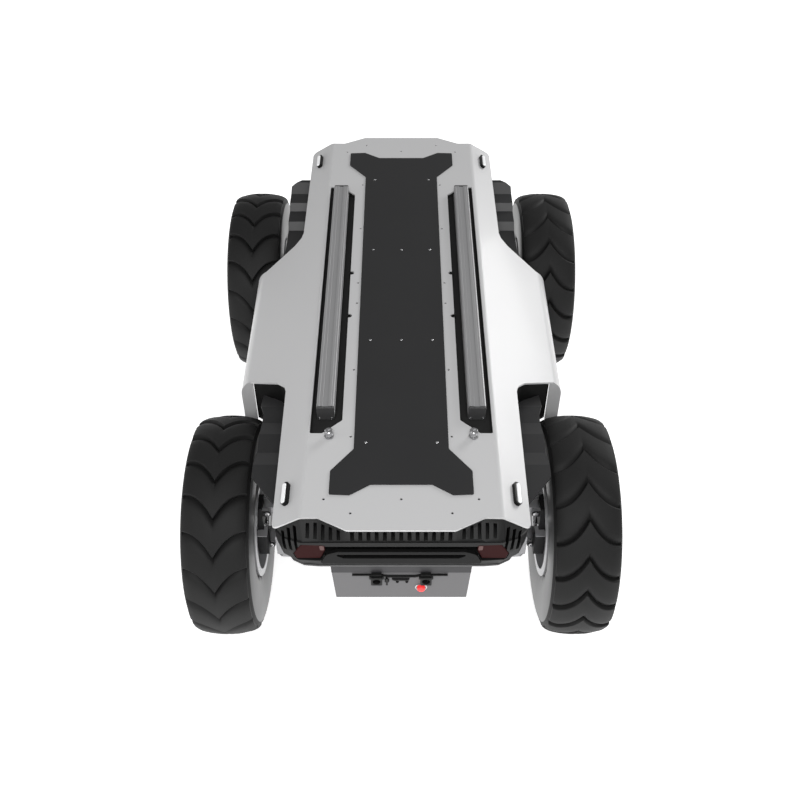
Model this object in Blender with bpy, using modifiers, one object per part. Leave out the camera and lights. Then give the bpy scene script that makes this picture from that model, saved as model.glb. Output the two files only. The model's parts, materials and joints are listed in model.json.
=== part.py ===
"""Four-wheel robot chassis: sheet-metal cover with two slotted rails on a black deck plate, a tub that
carries battery and electrics, and four independently sprung wheels on parallel arms.
Metres, +Z up, +Y forward (the end with the electrical box is the rear), +X to the robot's right."""

import math

import bmesh
import bpy
from mathutils import Matrix, Vector

GAP = 0.0003
SHEET = 0.003

# Overall layout
DECK_Z = 0.424
WHEEL_Y = 0.334
AXLE_Z = 0.187

# Cover: deck, slanted sides, bulges between the wheels
BEND_X = 0.148
SLOPE = 0.62
BULGE_X = 0.264
BULGE_Z = DECK_Z - (BULGE_X - BEND_X) * SLOPE
SKIRT_X = 0.281
SKIRT_TOP_Z = 0.320
SKIRT_LOW_Z = 0.258
STRIP_X = 0.192
ARCH_OUT_Y = 0.1535
ARCH_EDGE = ((0.208, 0.191), (0.1955, 0.2064), (STRIP_X, 0.220))
FLANGE_IN_X = 0.2585
END_Y = 0.528
END_STEP_Y = 0.505
END_MID_X = 0.078
END_STEP_X = 0.121

# Deck plate, rails and their recesses
PLATE_T = 0.002
RECESS_IN_X = 0.093
RECESS_OUT_X = 0.1415
RECESS_Y = 0.340
RECESS_CUT_X = 0.122
RECESS_CUT_Y = 0.312
NOTCH_Y = 0.060
TRAY_FLOOR_Z = 0.4125
RAIL_X = 0.120
RAIL_W = 0.028
RAIL_Y0 = -0.297
RAIL_Y1 = 0.317
CAP_T = 0.004
STUD_X = 0.112
STUD_Y = -0.347

MARKER_X = 0.1705
MARKER_Y = 0.452

# Tub
TUB_X = 0.1465
TUB_LOW_Z = 0.115
TUB_FLAT_Y = 0.360
TUB_END_Y = 0.455
TUB_RAMP_Z = 0.290
TUB_TOP_Z = DECK_Z - SHEET - GAP
WALL = 0.003

# Guards beside the tub: upper face from the bulge to the end, and plan shape; out from the middle
LINER_STEPS = {
    1: [
        (0.165, 0.3420),
        (0.3034, 0.3420),
        (0.3174, 0.3545),
        (0.3540, 0.3545),
        (0.3663, 0.3670),
        (0.3994, 0.3670),
        (0.4238, 0.3795),
        (0.4330, 0.3795),
    ],
    -1: [
        (0.165, 0.3315),
        (0.2073, 0.3460),
        (0.2451, 0.3460),
        (0.2839, 0.3610),
        (0.3249, 0.3610),
        (0.3661, 0.3795),
        (0.4545, 0.3795),
    ],
}
LINER_CORNER = {1: ((0.2350, 0.4135), (0.2107, 0.4335)), -1: ((0.2350, 0.3880), (0.1870, 0.4540))}
LINER_SIDE = [(0.2400, 0.150), (0.2400, 0.203), (0.2335, 0.225), (0.2330, 0.400), (0.2290, 0.500)]
BULKHEAD = [(0.2575, 0.1520), (0.2058, 0.1880), (0.1935, 0.2035), (0.1895, 0.2180)]
BULKHEAD_LOW_Z = 0.262

# Suspension
ARM_IN_X = 0.163
ARM_OUT_X = 0.2265
ARM_LOW_Z = 0.150
ARM_UP_Z = 0.236
PIN_R = 0.004
PIN_HOLE_R = 0.0046
PIN_SIDES = 10
TURN_STEPS = 4
RIB_OUT_X = 0.2150
RIB_TOP_Z = 0.193
BLOCK_TOP_Z = 0.199
SHOCK_X = 0.193
SHOCK_DY = 0.036
SHOCK_TOP_Z = 0.318

# Wheels
TYRE_R = 0.187
TYRE_W = 0.1120
TYRE_X = {1: 0.3000, -1: 0.2925}
CARCASS_R = 0.177
LUGS = 19
LUG_COLUMNS = 3
LUG_SWEEP = 0.80
LUG_SHOULDER = 0.007
RIM_HALF = 0.0545

# Bumpers and electrical box
BUMPER_IN_Y = TUB_END_Y + 0.0005
BOX_TOP_Z = 0.3335
BOX_LOW_Z = 0.237
BOX_TOP_X = 0.107
BOX_LOW_X = 0.102
SOCKET_REAR_Y = -0.529
BUTTON_X, BUTTON_Z = 0.0305, 0.268


# ---------------------------------------------------------------- shapes
def clear_scene():
    for obj in list(bpy.data.objects):
        bpy.data.objects.remove(obj, do_unlink=True)


def make_collection(name):
    group = bpy.data.collections.new(name)
    bpy.context.scene.collection.children.link(group)
    return group


def material(name, colour, roughness, metallic=0.0):
    mat = bpy.data.materials.new(name)
    mat.use_nodes = True
    shader = mat.node_tree.nodes["Principled BSDF"]
    shader.inputs["Base Color"].default_value = (*colour, 1.0)
    shader.inputs["Roughness"].default_value = roughness
    shader.inputs["Metallic"].default_value = metallic
    return mat


def mesh_object(name, bm, smooth=False):
    bmesh.ops.remove_doubles(bm, verts=bm.verts, dist=0.00001)
    bmesh.ops.recalc_face_normals(bm, faces=bm.faces)
    mesh = bpy.data.meshes.new(name)
    bm.to_mesh(mesh)
    bm.free()
    if smooth:
        for face in mesh.polygons:
            face.use_smooth = True
    obj = bpy.data.objects.new(name, mesh)
    bpy.context.scene.collection.objects.link(obj)
    return obj


def extrude(bm, points, offset):
    """A flat face through the points, pushed along the offset into a solid."""
    face = bm.faces.new([bm.verts.new(point) for point in points])
    made = bmesh.ops.extrude_face_region(bm, geom=[face])["geom"]
    verts = [item for item in made if isinstance(item, bmesh.types.BMVert)]
    bmesh.ops.translate(bm, verts=verts, vec=offset)


def prism_z(name, outline, z0, z1):
    bm = bmesh.new()
    extrude(bm, [(x, y, z0) for x, y in outline], (0, 0, z1 - z0))
    return mesh_object(name, bm)


def prism_x(name, outline, x0, x1):
    bm = bmesh.new()
    extrude(bm, [(x0, y, z) for y, z in outline], (x1 - x0, 0, 0))
    return mesh_object(name, bm)


def prism_y(name, outline, y0, y1):
    bm = bmesh.new()
    extrude(bm, [(x, y0, z) for x, z in outline], (0, y1 - y0, 0))
    return mesh_object(name, bm)


def box(name, x0, x1, y0, y1, z0, z1):
    bm = bmesh.new()
    bmesh.ops.create_cube(bm, size=1.0)
    bmesh.ops.scale(bm, vec=(abs(x1 - x0), y1 - y0, z1 - z0), verts=bm.verts)
    centre = ((x0 + x1) / 2, (y0 + y1) / 2, (z0 + z1) / 2)
    bmesh.ops.translate(bm, vec=centre, verts=bm.verts)
    return mesh_object(name, bm)


def cylinder(name, centre, radius, length, axis="Z", segments=16, radius_end=None):
    bm = bmesh.new()
    turn = {"X": Matrix.Rotation(math.pi / 2, 4, "Y"), "Y": Matrix.Rotation(-math.pi / 2, 4, "X")}
    bmesh.ops.create_cone(
        bm,
        cap_ends=True,
        segments=segments,
        radius1=radius,
        radius2=radius if radius_end is None else radius_end,
        depth=length,
        matrix=Matrix.Translation(centre) @ turn.get(axis, Matrix.Identity(4)),
    )
    return mesh_object(name, bm)


def lathe_x(name, profile, segments):
    """A closed (x, radius) profile turned about the X axis."""
    bm = bmesh.new()
    verts = [bm.verts.new((x, 0, r)) for x, r in profile]
    edges = [bm.edges.new((a, b)) for a, b in zip(verts, verts[1:] + verts[:1])]
    bmesh.ops.spin(
        bm,
        geom=verts + edges,
        cent=(0, 0, 0),
        axis=(1, 0, 0),
        angle=2 * math.pi,
        steps=segments,
        use_merge=True,
    )
    return mesh_object(name, bm, smooth=True)


def boolean(obj, tool, operation):
    modifier = obj.modifiers.new(operation, "BOOLEAN")
    modifier.operation = operation
    modifier.solver = "EXACT"
    modifier.object = tool
    bpy.context.view_layer.update()
    graph = bpy.context.evaluated_depsgraph_get()
    mesh = bpy.data.meshes.new_from_object(obj.evaluated_get(graph))
    obj.modifiers.clear()
    obj.data = mesh
    bpy.data.objects.remove(tool, do_unlink=True)


def cut(obj, *tools):
    for tool in tools:
        boolean(obj, tool, "DIFFERENCE")


def join(obj, *tools):
    for tool in tools:
        boolean(obj, tool, "UNION")


def finish(group, obj, mat, origin=(0, 0, 0), smooth=False):
    """Gives the piece its material and puts its origin where its joint or centre is."""
    obj.data.materials.clear()
    obj.data.materials.append(mat)
    obj.data.transform(Matrix.Translation(-Vector(origin)))
    obj.location = origin
    if smooth:
        for face in obj.data.polygons:
            face.use_smooth = True
    bpy.context.scene.collection.objects.unlink(obj)
    group.objects.link(obj)
    return obj


def mirrored(points):
    """The points, then the same points on the -X side in reverse order."""
    return points + [(-x, z) for x, z in reversed(points)]


def offset_in(points, distance):
    """The open path moved down and inwards by the distance, square to each of its edges."""
    normals = []
    for a, b in zip(points, points[1:]):
        dx, dz = b[0] - a[0], b[1] - a[1]
        size = math.hypot(dx, dz)
        normals.append((dz / size, -dx / size))
    moved = []
    for index, point in enumerate(points):
        before = normals[max(index - 1, 0)]
        after = normals[min(index, len(normals) - 1)]
        nx, nz = before[0] + after[0], before[1] + after[1]
        scale = distance * 2 / (nx * nx + nz * nz)
        moved.append((point[0] + nx * scale, point[1] + nz * scale))
    return moved


# ---------------------------------------------------------------- cover and deck
def cover_outline():
    """Plan outline of the cover, one quarter mirrored to four."""
    quarter = [
        (SKIRT_X + 0.01, ARCH_OUT_Y),
        (BULGE_X, ARCH_OUT_Y),
        *ARCH_EDGE,
        (STRIP_X - 0.002, END_STEP_Y),
        (STRIP_X - 0.006, END_STEP_Y + 0.005),
        (BEND_X, END_STEP_Y),
        (END_STEP_X, END_STEP_Y),
        (END_MID_X, END_Y),
    ]
    right = quarter + [(-x, y) for x, y in reversed(quarter)]
    return right + [(-x, -y) for x, y in right]


def recess_outline(side, grow=0.0):
    half = [
        (RECESS_OUT_X + grow, RECESS_Y + grow),
        (RECESS_CUT_X, RECESS_Y + grow),
        (RECESS_IN_X - grow, RECESS_CUT_Y + grow),
    ]
    notch = []
    if not grow:
        for y in (NOTCH_Y, -NOTCH_Y):
            notch += [
                (RECESS_IN_X, y + 0.006),
                (RECESS_IN_X - 0.005, y + 0.003),
                (RECESS_IN_X - 0.005, y - 0.003),
                (RECESS_IN_X, y - 0.006),
            ]
    points = half + notch + [(x, -y) for x, y in reversed(half)]
    return [(side * x, y) for x, y in points]


COVER_PATH = [
    (0.0, DECK_Z),
    (BEND_X, DECK_Z),
    (BULGE_X, BULGE_Z),
    (0.2735, 0.3425),
    (0.2795, 0.3320),
    (SKIRT_X, SKIRT_TOP_Z),
    (SKIRT_X, SKIRT_LOW_Z),
]


def cover_section(inset):
    """Solid that fills the section of the cover, this far inside its outer face."""
    return prism_y("section", mirrored(offset_in(COVER_PATH, inset)[1:]), -0.6, 0.6)


def end_flange(side, end):
    """Flange turned in from the skirt at the end of a bulge."""
    x0, x1 = sorted((side * FLANGE_IN_X, side * SKIRT_X))
    y0, y1 = sorted((end * (ARCH_OUT_Y - 0.0035), end * (ARCH_OUT_Y - 0.0005)))
    flange = box("flange", x0, x1, y0, y1, SKIRT_LOW_Z + 0.0005, DECK_Z)
    boolean(flange, cover_section(SHEET / 2), "INTERSECT")
    return flange


def top_cover():
    outer = COVER_PATH
    inner = offset_in(outer, SHEET)
    inner[0] = (0.0, DECK_Z - SHEET)
    right = outer[1:] + list(reversed(inner[1:]))
    left = [(-x, z) for x, z in reversed(right)]
    cover = prism_y("top_cover", right + left, -0.6, 0.6)
    boolean(cover, prism_z("plan", cover_outline(), 0.20, 0.50), "INTERSECT")
    for side in (1, -1):
        cut(cover, prism_z("recess", recess_outline(side), 0.39, 0.45))
        join(cover, end_flange(side, 1), end_flange(side, -1))
    return cover


def deck_plate():
    quarter = [
        (0.073, 0.374),
        (0.107, 0.418),
        (0.107, 0.463),
        (0.0765, 0.4645),
        (0.046, 0.4445),
    ]
    right = quarter + [(-x, y) for x, y in reversed(quarter)]
    outline = right + [(-x, -y) for x, y in right]
    return prism_z("deck_plate", outline, DECK_Z + GAP, DECK_Z + GAP + PLATE_T)


def rail_tray(side):
    wall = 0.0015
    outline = recess_outline(side, 0.0017)
    tray = prism_z("rail_tray", outline, TRAY_FLOOR_Z - wall, DECK_Z - SHEET - GAP)
    inside = recess_outline(side, 0.0003)
    cut(tray, prism_z("hollow", inside, TRAY_FLOOR_Z, DECK_Z))
    return tray


def slot_section(half):
    """Square extrusion section with one undercut slot in the middle of each face."""
    face = [
        (-half, half),
        (-0.0041, half),
        (-0.0041, half - 0.0022),
        (-0.0075, half - 0.0022),
        (-0.0075, half - 0.0050),
        (-0.0045, half - 0.0090),
        (0.0045, half - 0.0090),
        (0.0075, half - 0.0050),
        (0.0075, half - 0.0022),
        (0.0041, half - 0.0022),
        (0.0041, half),
    ]
    points = []
    for quarter in range(4):
        c, s = round(math.cos(quarter * math.pi / 2)), round(math.sin(quarter * math.pi / 2))
        points += [(x * c + z * s, -x * s + z * c) for x, z in face]
    return points


def rail(side):
    half = RAIL_W / 2
    low = TRAY_FLOOR_Z + GAP
    section = [(side * RAIL_X + x, low + half + z) for x, z in slot_section(half)]
    return prism_y("rail", section, RAIL_Y0, RAIL_Y1)


def rail_cap(side, end):
    half = RAIL_W / 2
    low = TRAY_FLOOR_Z + GAP
    y = RAIL_Y1 if end > 0 else RAIL_Y0
    y0, y1 = sorted((y + end * GAP, y + end * (GAP + CAP_T)))
    c = 0.002
    outline = [(half, half - c), (half - c, half), (c - half, half), (-half, half - c)]
    outline += [(-half, c - half), (c - half, -half), (half - c, -half), (half, c - half)]
    outline = [(side * RAIL_X + x, low + half + z) for x, z in outline]
    return prism_y("rail_cap", outline, y0, y1)


def deck_stud(side):
    base = DECK_Z + GAP
    stud = cylinder("deck_stud", (side * STUD_X, STUD_Y, base + 0.0015), 0.0075, 0.003, segments=20)
    join(
        stud,
        cylinder("stem", (side * STUD_X, STUD_Y, base + 0.006), 0.0055, 0.0062, segments=20),
        cylinder("head", (side * STUD_X, STUD_Y, base + 0.0115), 0.0065, 0.006, segments=6),
    )
    return stud


def marker_lamp(side, end):
    """Oblong lamp standing square on the slanted side of the cover."""
    length, width, height = 0.044, 0.014, 0.012
    bm = bmesh.new()
    outline = []
    for half, start in ((1, 0.0), (-1, math.pi)):
        for step in range(7):
            angle = start + step * math.pi / 6
            x = width / 2 * math.cos(angle)
            outline.append((x, half * (length - width) / 2 + width / 2 * math.sin(angle), 0.0))
    extrude(bm, outline, (0, 0, height))
    lamp = mesh_object("marker_lamp", bm)
    x = MARKER_X
    tilt = Matrix.Rotation(side * math.atan(SLOPE), 4, "Y")
    place = Vector((side * x, end * MARKER_Y, DECK_Z - (x - BEND_X) * SLOPE)) + tilt @ Vector((0, 0, GAP * 2))
    lamp.data.transform(Matrix.Translation(place) @ tilt)
    return lamp


# ---------------------------------------------------------------- tub and arch liners
def chassis_tub():
    outline = [
        (-TUB_FLAT_Y, TUB_LOW_Z),
        (TUB_FLAT_Y, TUB_LOW_Z),
        (TUB_END_Y, TUB_RAMP_Z),
        (TUB_END_Y, TUB_TOP_Z),
        (-TUB_END_Y, TUB_TOP_Z),
        (-TUB_END_Y, TUB_RAMP_Z),
    ]
    inside = [
        (-TUB_FLAT_Y + 0.002, TUB_LOW_Z + WALL),
        (TUB_FLAT_Y - 0.002, TUB_LOW_Z + WALL),
        (TUB_END_Y - WALL, TUB_RAMP_Z + 0.001),
        (TUB_END_Y - WALL, TUB_TOP_Z + 0.01),
        (-TUB_END_Y + WALL, TUB_TOP_Z + 0.01),
        (-TUB_END_Y + WALL, TUB_RAMP_Z + 0.001),
    ]
    tub = prism_x("chassis_tub", outline, -TUB_X, TUB_X)
    cut(tub, prism_x("hollow", inside, WALL - TUB_X, TUB_X - WALL))
    for side in (1, -1):
        for end in (1, -1):
            for z in (ARM_LOW_Z, ARM_UP_Z):
                join(tub, pivot_lug(side, end, z))
            join(tub, shock_bracket(side, end))
    return tub


def tongue_outline(x0, x1, z, radius, side):
    """XZ outline of a tongue from x0 to a round end about x1."""
    points = [(x0, z - radius), (x0, z + radius)]
    for step in range(TURN_STEPS + 1):
        angle = math.pi / 2 - step * math.pi / TURN_STEPS
        points.append((x1 + radius * math.cos(angle), z + radius * math.sin(angle)))
    return [(side * x, z) for x, z in points]


def pivot_lug(side, end, z):
    y = end * WHEEL_Y
    lug = prism_y("lug", tongue_outline(TUB_X - 0.002, ARM_IN_X, z, 0.009, side), y - 0.012, y + 0.012)
    cut(lug, cylinder("bore", (side * ARM_IN_X, y, z), PIN_HOLE_R, 0.05, "Y", PIN_SIDES))
    return lug


def shock_bracket(side, end):
    y = end * (WHEEL_Y - SHOCK_DY)
    outline = tongue_outline(TUB_X - 0.002, SHOCK_X, SHOCK_TOP_Z, 0.008, side)
    return prism_y("bracket", outline, y - 0.011, y + 0.011)


def arch_liner(side, end):
    """Stepped guard beside the tub, made in one with the wall that closes the end of the bulge."""
    top = LINER_STEPS[end]
    low = [(y + (0.003 if 0 < i < len(top) - 1 else 0.0), z - 0.004) for i, (y, z) in enumerate(top)]
    outline = [(end * y, z) for y, z in top + list(reversed(low))]
    liner = prism_x("arch_liner", outline, side * (TUB_X + 0.0005), side * 0.25)
    inner, outer = LINER_CORNER[end]
    corner = [inner, (0.26, inner[1]), (0.26, 0.50), (outer[0], 0.50), outer]
    beyond = LINER_SIDE + [(0.27, 0.500), (0.27, 0.150)]
    for plan in (corner, beyond):
        cut(liner, prism_z("plan", [(side * x, end * y) for x, y in plan], 0.30, 0.42))
    back = [(x - 0.0012, y - 0.003) for x, y in reversed(BULKHEAD)]
    wall = prism_z("wall", [(side * x, end * y) for x, y in BULKHEAD + back], BULKHEAD_LOW_Z, DECK_Z)
    boolean(wall, cover_section(SHEET + 0.0006), "INTERSECT")
    join(liner, wall)
    return liner


def battery_pack():
    pack = box("battery_pack", -0.115, 0.115, -0.200, 0.200, TUB_LOW_Z + WALL + GAP, 0.262)
    modifier = pack.modifiers.new("Edges", "BEVEL")
    modifier.width = 0.006
    modifier.segments = 2
    return pack


# ---------------------------------------------------------------- bumpers, lamps, electrical box
def loft(name, rings):
    """A solid through rings of equally many points, closed by a flat fan at each end."""
    bm = bmesh.new()
    loops = [[bm.verts.new(point) for point in ring] for ring in rings]
    for low, high in zip(loops, loops[1:]):
        for index in range(len(low)):
            after = (index + 1) % len(low)
            bm.faces.new((low[index], low[after], high[after], high[index]))
    for loop in (loops[0], loops[-1]):
        bm.faces.new(loop)
    bmesh.ops.triangulate(bm, faces=bm.faces)
    return mesh_object(name, bm)


# Plan rings of the bumper below the cover: half width, height, reach in the middle, reach at the humps.
BUMPER_RINGS = {
    "waist": (0.184, 0.396, 0.532, 0.531),
    "low": (0.184, 0.358, 0.532, 0.532),
    "foot": (0.165, 0.3345, 0.528, 0.528),
}


def bumper_ring(end, level):
    """One plan ring of the bumper; the upper rings follow the stepped end of the cover."""
    if level == "top":
        half = [(0.078, 0.527), (0.121, 0.5045), (0.147, 0.5045), (0.180, 0.5045), (0.186, 0.498)]
        half = [(x, y, DECK_Z - SHEET * 1.35 - max(0.0, x - BEND_X) * SLOPE) for x, y in half]
        inner = (0.186, BUMPER_IN_Y, DECK_Z - SHEET * 1.35 - (0.186 - BEND_X) * SLOPE)
        middle_in = (BEND_X - 0.001, BUMPER_IN_Y, DECK_Z - SHEET * 1.35)
    else:
        x_out, z, y_out, y_hump = BUMPER_RINGS[level]
        half = [
            (0.078, y_out, z),
            (0.121, y_hump, z),
            (x_out * 0.82, y_hump, z),
            (x_out * 0.97, y_hump - 0.003, z),
            (x_out, y_hump - 0.012, z),
        ]
        inner = (x_out, BUMPER_IN_Y, z)
        middle_in = (x_out * 0.8, BUMPER_IN_Y, z)
    right = half + [inner, middle_in]
    ring = right + [(-x, y, z) for x, y, z in reversed(right)]
    return [(x, end * y, z) for x, y, z in ring]


def grille_slots(end):
    """Upright slots of the grille, joined into one cutter."""
    bm = bmesh.new()
    slots = [(0.0128 * (index - 6.0), 0.0066, 0.5, 0.398, 0.4165) for index in range(13)]
    for side in (1, -1):
        slots += [(side * (0.0975 + 0.0128 * i), 0.0066, 0.48, 0.394, 0.4125) for i in range(5)]
    for x, width, y0, z0, z1 in slots:
        made = bmesh.ops.create_cube(bm, size=1.0)["verts"]
        bmesh.ops.scale(bm, vec=(width, 0.10, z1 - z0), verts=made)
        reach = 0.568 if abs(x) < 0.08 else 0.568 - (abs(x) - 0.078) * 0.52
        if abs(x) > 0.12:
            reach = 0.546
        bmesh.ops.translate(bm, vec=(x, end * (reach + 0.004), (z0 + z1) / 2), verts=made)
    return mesh_object("slots", bm)


def bumper(end):
    rings = [bumper_ring(end, level) for level in ("foot", "low", "waist", "top")]
    body = loft("bumper", rings)
    y0, y1 = sorted((end * (BUMPER_IN_Y - 0.01), end * 0.505))
    cut(body, box("pocket", -0.139, 0.139, y0, y1, 0.343, 0.388))
    cut(body, grille_slots(end))
    for side in (1, -1):
        cut(body, lamp_block(side, end, 0.0004, 0.5205))
    bar = [(-0.117, 0.350), (0.117, 0.350), (0.106, 0.379), (-0.106, 0.379)]
    y0, y1 = sorted((end * 0.520, end * 0.5385))
    join(body, prism_y("bar", bar, y0, y1))
    slot = [(-0.098, 0.3722), (0.098, 0.3722), (0.084, 0.3635), (-0.084, 0.3635)]
    y0, y1 = sorted((end * 0.530, end * 0.545))
    cut(body, prism_y("slot", slot, y0, y1))
    return body


def lamp_block(side, end, grow, y_in):
    x0, x1, z0, z1, c = 0.1115, 0.1575, 0.3575, 0.3920, 0.008
    outline = [
        (x0 - grow, z0 + c),
        (x0 - grow, z1 - c),
        (x0 + c, z1 + grow),
        (x1 - c, z1 + grow),
        (x1 + grow, z1 - c),
        (x1 + grow, z0 + c),
        (x1 - c * 1.6, z0 - grow),
        (x0 + c, z0 - grow),
    ]
    y0, y1 = sorted((end * y_in, end * (0.560 if grow else 0.5275)))
    return prism_y("lamp", [(side * x, z) for x, z in outline], y0, y1)


def end_lamp(side, end):
    return lamp_block(side, end, 0.0, 0.5215)


def control_box():
    """Open-topped electrical box under the rear bumper, with its front against the tub's ramp."""
    outline = [
        (-0.521, BOX_TOP_Z),
        (-0.517, BOX_LOW_Z),
        (-0.4297, BOX_LOW_Z),
        (-0.4560, 0.2857),
        (-0.4560, BOX_TOP_Z),
    ]
    inside = [
        (-0.5184, BOX_TOP_Z + 0.01),
        (-0.5145, BOX_LOW_Z + 0.0025),
        (-0.4340, BOX_LOW_Z + 0.0025),
        (-0.4590, 0.2860),
        (-0.4590, BOX_TOP_Z + 0.01),
    ]
    case = prism_x("control_box", outline, -BOX_TOP_X, BOX_TOP_X)
    for side in (1, -1):
        low = BOX_LOW_Z - GAP
        wedge = [(0.12, BOX_TOP_Z), (BOX_TOP_X, BOX_TOP_Z), (BOX_LOW_X, low), (0.12, low)]
        wedge = [(side * x, z) for x, z in wedge]
        cut(case, prism_y("wedge", wedge, -0.55, -0.40))
    cut(case, prism_x("hollow", inside, -0.0975, 0.0975))
    cut(case, cylinder("button_hole", (BUTTON_X, -0.517, BUTTON_Z), 0.0068, 0.02, "Y", 20))
    return case


def socket(side):
    """Square aviation-style socket body standing out of the electrical box."""
    x, z = side * 0.0375, 0.2965
    body = box("socket", x - 0.0085, x + 0.0085, SOCKET_REAR_Y, -0.5200 - GAP, z - 0.0095, z + 0.0095)
    join(body, box("ear", x - 0.0108, x + 0.0108, -0.5250, -0.5205, z + 0.001, z + 0.0055))
    cut(body, cylinder("mouth", (x, SOCKET_REAR_Y - 0.001, z), 0.0062, 0.014, "Y", 20))
    return body


def power_button():
    button = cylinder("power_button", (BUTTON_X, -0.5185, BUTTON_Z), 0.0062, 0.0120, "Y", 20)
    join(button, cylinder("collar", (BUTTON_X, -0.5115, BUTTON_Z), 0.0085, 0.0030, "Y", 20))
    return button


# ---------------------------------------------------------------- suspension and wheels
# Outlines about each piece's own middle: arm from above, its fork and shock ear from the side, half upright.
ARM_PLAN = ((0.178, -0.024), (0.2, -0.024), (0.213, -0.0105), (0.213, 0.0105), (0.2, 0.024), (0.178, 0.024))
ARM_FORK = ((0.155, -0.007), (0.155, 0.007), (0.180, 0.006), (0.180, -0.006))
SHOCK_EAR = (
    (-0.008, -0.006),
    (-0.008, 0.006),
    (-0.005, 0.009),
    (0.005, 0.009),
    (0.007, 0.006),
    (0.007, -0.006),
)
UPRIGHT_HALF = ((0.020, 0.139), (0.024, 0.165), (0.024, 0.215), (0.018, 0.247))


def arm(name, side, end, z, shock):
    """Parallel arm: forked at the tub, a single tongue at the upright, pins made in one with it."""
    y = end * WHEEL_Y
    body = prism_z(name, [(side * x, y + dy) for x, dy in ARM_PLAN], z - 0.006, z + 0.006)
    fork = [(side * x, z + dz) for x, dz in ARM_FORK]
    for sign in (1, -1):
        y0, y1 = sorted((y + sign * 0.0135, y + sign * 0.0235))
        join(body, prism_y("tine", fork, y0, y1))
    join(body, cylinder("pin", (side * ARM_IN_X, y, z), PIN_R, 0.046, "Y", PIN_SIDES))
    tongue = tongue_outline(0.205, ARM_OUT_X, z, 0.007, side)
    eye = prism_y("tongue", tongue, y - 0.0095, y + 0.0095)
    cut(eye, cylinder("bore", (side * ARM_OUT_X, y, z), PIN_HOLE_R, 0.05, "Y", PIN_SIDES))
    join(body, eye)
    if shock:
        inward = -end
        y0, y1 = sorted((y + inward * 0.020, y + inward * 0.0275))
        join(body, prism_y("ear", [(side * (SHOCK_X + dx), z + dz) for dx, dz in SHOCK_EAR], y0, y1))
        pin = (side * SHOCK_X, y + inward * 0.0345, z)
        join(body, cylinder("shock_pin", pin, 0.0035, 0.018, "Y", PIN_SIDES))
        x0, x1 = sorted((side * 0.183, side * RIB_OUT_X))
        y0, y1 = sorted((y + end * 0.019, y + end * 0.034))
        join(body, box("rib", x0, x1, y0, y1, z - 0.0055, RIB_TOP_Z))
    return body


def upright(side, end):
    """Wheel carrier between the two arms, with a bearing boss reaching into the rim."""
    y = end * WHEEL_Y
    x0, x1 = 0.2340, 0.2460
    right = [(y + dy, z) for dy, z in UPRIGHT_HALF]
    left = [(y - dy, z) for dy, z in reversed(UPRIGHT_HALF)]
    body = prism_x("upright", right + left, side * x0, side * x1)
    join(body, cylinder("boss", (side * 0.2560, y, AXLE_Z), 0.030, 0.024, "X", 20))
    for z in (ARM_LOW_Z, ARM_UP_Z):
        for sign in (1, -1):
            y0, y1 = sorted((y + sign * 0.0105, y + sign * 0.0175))
            outline = [(side * 0.2400, z - 0.0075), (side * 0.2400, z + 0.0075)]
            for step in range(TURN_STEPS + 1):
                angle = math.pi / 2 + step * math.pi / TURN_STEPS
                outline.append((side * (ARM_OUT_X + 0.0075 * math.cos(angle)), z + 0.0075 * math.sin(angle)))
            join(body, prism_y("fork", outline, y0, y1))
        join(body, cylinder("pin", (side * ARM_OUT_X, y, z), PIN_R, 0.033, "Y", PIN_SIDES))
    x0, x1 = sorted((side * 0.2275, side * 0.2455))
    y0, y1 = sorted((y + end * 0.0165, y + end * 0.038))
    join(body, box("block", x0, x1, y0, y1, ARM_LOW_Z + 0.0005, BLOCK_TOP_Z))
    cut(body, cylinder("bearing", (side * 0.255, y, AXLE_Z), 0.0138, 0.06, "X", 16))
    return body


def shock_body(side, end):
    """Damper can hanging from the tub's bracket, with a ribbed rubber boot."""
    x, y = side * SHOCK_X, end * (WHEEL_Y - SHOCK_DY)
    top = SHOCK_TOP_Z - 0.008 - GAP
    can = cylinder("shock_body", (x, y, top - 0.014), 0.0105, 0.028, segments=14)
    for index in range(3):
        z = top - 0.033 - index * 0.015
        join(can, cylinder("rib", (x, y, z), 0.0085, 0.0155, segments=14, radius_end=0.0105))
    cut(can, cylinder("bore", (x, y, top - 0.050), 0.0052, 0.090, segments=PIN_SIDES))
    return can


def shock_rod(side, end):
    x, y = side * SHOCK_X, end * (WHEEL_Y - SHOCK_DY)
    rod = cylinder("shock_rod", (x, y, 0.204), 0.0042, 0.092, segments=PIN_SIDES)
    eye = cylinder("eye", (x, y, ARM_LOW_Z), 0.0085, 0.0110, "Y", 14)
    join(rod, eye)
    cut(rod, cylinder("hole", (x, y, ARM_LOW_Z), 0.0046, 0.03, "Y", PIN_SIDES))
    return rod


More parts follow.
